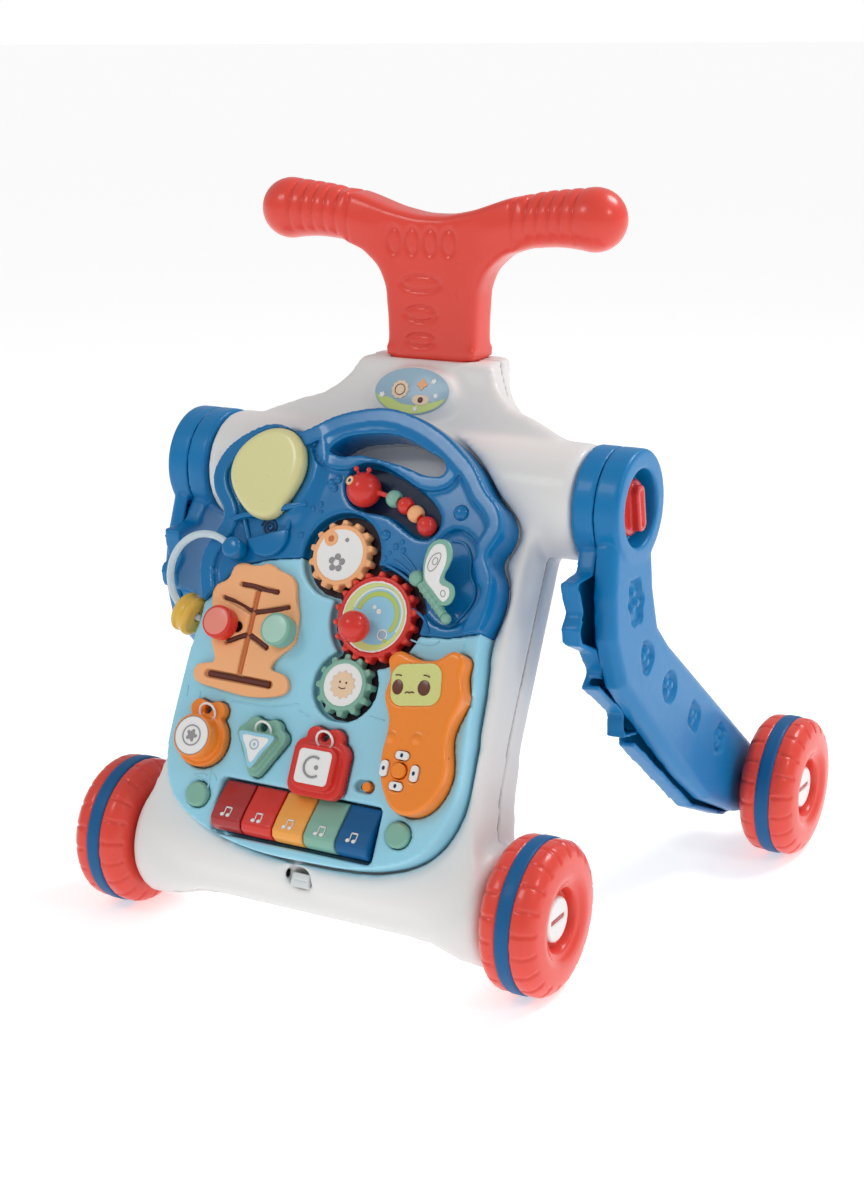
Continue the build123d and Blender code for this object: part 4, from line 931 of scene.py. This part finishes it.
# handset
softSkin("handset_shell", "toy_phone", "toy_orange", 0.85, 5)
softSkin("handset_screen", "phone_screen", "screen_green", 0.5, 3)
softSkin("handset_center_key", "phone_centre_key", "toy_orange", 0.45, 4)
softSkin("handset_white_keys", "phone_white_keys", "white_trim", 0.4, 3)
screenTurn = 9
faceParts = [plate(oval(57.8, 197.2, 3.7, 4.7, screenTurn), 12.0, 12.55, 0.15),
             plate(oval(75.6, 199.2, 4.2, 4.8, screenTurn), 12.0, 12.55, 0.15),
             line([(54.8, 204.2, 12.3), (57, 205.0, 12.4), (59, 204.4, 12.3)], 0.45),
             line([(73.6, 206.8, 12.3), (75.8, 207.2, 12.4), (78, 206.2, 12.3)], 0.45),
             line([(63.6, 194.3, 12.3), (65, 195.5, 12.4), (66.6, 194.6, 12.4), (68, 195.9, 12.4),
                   (69.6, 195.2, 12.3)], 0.45)]
bundle(faceParts, "phone_face", "handset", printsAndShades["brown"])
dots = [plate(oval(71 + 10.4 * dx, 147.5 + 9.4 * du, 1.0, 1.3, count=20), 12.6, 13.15)
        for dx, du in ((1, 0), (0, 1), (-1, 0), (0, -1))]
bundle(dots, "phone_key_dots", "handset_white_keys", printsAndShades["navy"])
notches = [line([(94.5, u, 11.2), (97.6, u - 0.4, 9.6), (99.4, u - 0.6, 6.5)], 0.6) for u in (161, 151)]
bundle(notches, "phone_side_lines", "handset", printsAndShades["bark"])
print("handset dressed")


# badge above the tray
bundle([plate(oval(0, 393, 27.2, 15.9, count=64), -25.4, -24.6, 0.2)], "badge_sky", "root",
       printsAndShades["skyGrey"])
hill = [(26.4 * math.cos(a), 393 + 15.2 * math.sin(a))
        for a in (math.radians(-168 + 156 * i / 30) for i in range(31))]
hill += [(20, 387.6), (12, 385.2), (3, 383.6), (-6, 384.2), (-15, 387.8), (-22, 388.4)]
bundle([plate(hill, -24.8, -24.45)], "badge_hill", "root", printsAndShades["leaf"])
bundle([plate(lobed(-8.5, 393.5, 6.2, 10, 0.07), -24.7, -24.3),
        plate(oval(8, 387.5, 6.4, 3.6), -24.6, -24.3)], "badge_sun", "root", printsAndShades["beige"])
bundle([plate(lobed(x, u, r, 5, 0.22, 40), -24.55, -24.2) for x, u, r in (
    (-21, 389, 1.9), (15, 400.5, 1.7), (18.5, 391, 1.6), (5.5, 381.2, 1.5))],
       "badge_flowers", "root", printsAndShades["paper"])
bundle([plate(lobed(7, 398, 3.2, 4, 0.22, 48), -24.6, -24.25)], "badge_leafspot", "root", printsAndShades["orange"])
bundle([hoop(-8.5, 393.5, -24.25, 3.6, 0.3), ball(8, 387.5, -24.3, 2.0, 0.3)], "badge_marks", "root",
       printsAndShades["brown"])
print("badge dressed")


# floor, light and camera
bpy.ops.object.select_all(action="DESELECT")
bpy.ops.mesh.primitive_plane_add(size=120)
floor = bpy.context.object
floor.name = "studio_floor"
paint = finish("paleFloor", (0.86, 0.86, 0.86), 0.7, 0.0, 0.02, 0.02, 0.0,
               **{"Emission Color": (1, 1, 1, 1), "Emission Strength": 0.52})
floor.data.materials.append(paint)

world = bpy.data.worlds.new("studioAir")
bpy.context.scene.world = world
world.use_nodes = True
air = world.node_tree
soft = air.nodes["Background"]
soft.inputs[0].default_value = (1, 1, 1, 1)
soft.inputs[1].default_value = 0.5
plain = air.nodes.new("ShaderNodeBackground")
plain.inputs[1].default_value = 1.0
plain.inputs[0].default_value = (1, 1, 1, 1)
ray = air.nodes.new("ShaderNodeLightPath")
either = air.nodes.new("ShaderNodeMixShader")
air.links.new(ray.outputs["Is Camera Ray"], either.inputs[0])
air.links.new(soft.outputs[0], either.inputs[1])
air.links.new(plain.outputs[0], either.inputs[2])
air.links.new(either.outputs[0], air.nodes["World Output"].inputs["Surface"])

lamps = {
    # place, aim, size, power
    "keyLamp": ((-0.75, -1.35, 1.6), (0, 0, 0.25), 0.5, 5),
    "rightLamp": ((1.5, -0.3, 1.2), (0, 0, 0.25), 0.35, 3),
    "backLamp": ((0.75, 0.8, 1.5), (0, 0, 0.1), 0.55, 12),
}
for name, (place, aim, size, power) in lamps.items():
    data = bpy.data.lights.new(name, "AREA")
    data.size = size
    data.energy = power
    lamp = bpy.data.objects.new(name, data)
    lamp.location = place
    lamp.rotation_mode = "QUATERNION"
    lamp.rotation_quaternion = (Vector(aim) - Vector(place)).to_track_quat("-Z", "Y")
    bpy.context.scene.collection.objects.link(lamp)

viewPoint = {"turn": 29.25, "tilt": 15.52, "roll": -0.48, "lens": 62.0, "place": (0.6509, -1.1614, 0.5674)}
turn, tilt, roll = (math.radians(viewPoint[k]) for k in ("turn", "tilt", "roll"))
back = Vector((math.sin(turn) * math.cos(tilt), -math.cos(turn) * math.cos(tilt), math.sin(tilt)))
right = Vector((math.cos(turn), math.sin(turn), 0))
up = back.cross(right)
camera = bpy.data.objects.new("viewCamera", bpy.data.cameras.new("viewCamera"))
camera.data.lens = viewPoint["lens"]
camera.data.sensor_width = 36
camera.data.clip_end = 300
spunRight = math.cos(roll) * right + math.sin(roll) * up
spunUp = -math.sin(roll) * right + math.cos(roll) * up
camera.matrix_world = Matrix.Translation(viewPoint["place"]) @ Matrix(
    (spunRight, spunUp, back)).transposed().to_4x4()
bpy.context.scene.collection.objects.link(camera)
bpy.context.scene.camera = camera
bpy.context.scene.view_settings.view_transform = "Standard"

print("floor, light and camera placed")
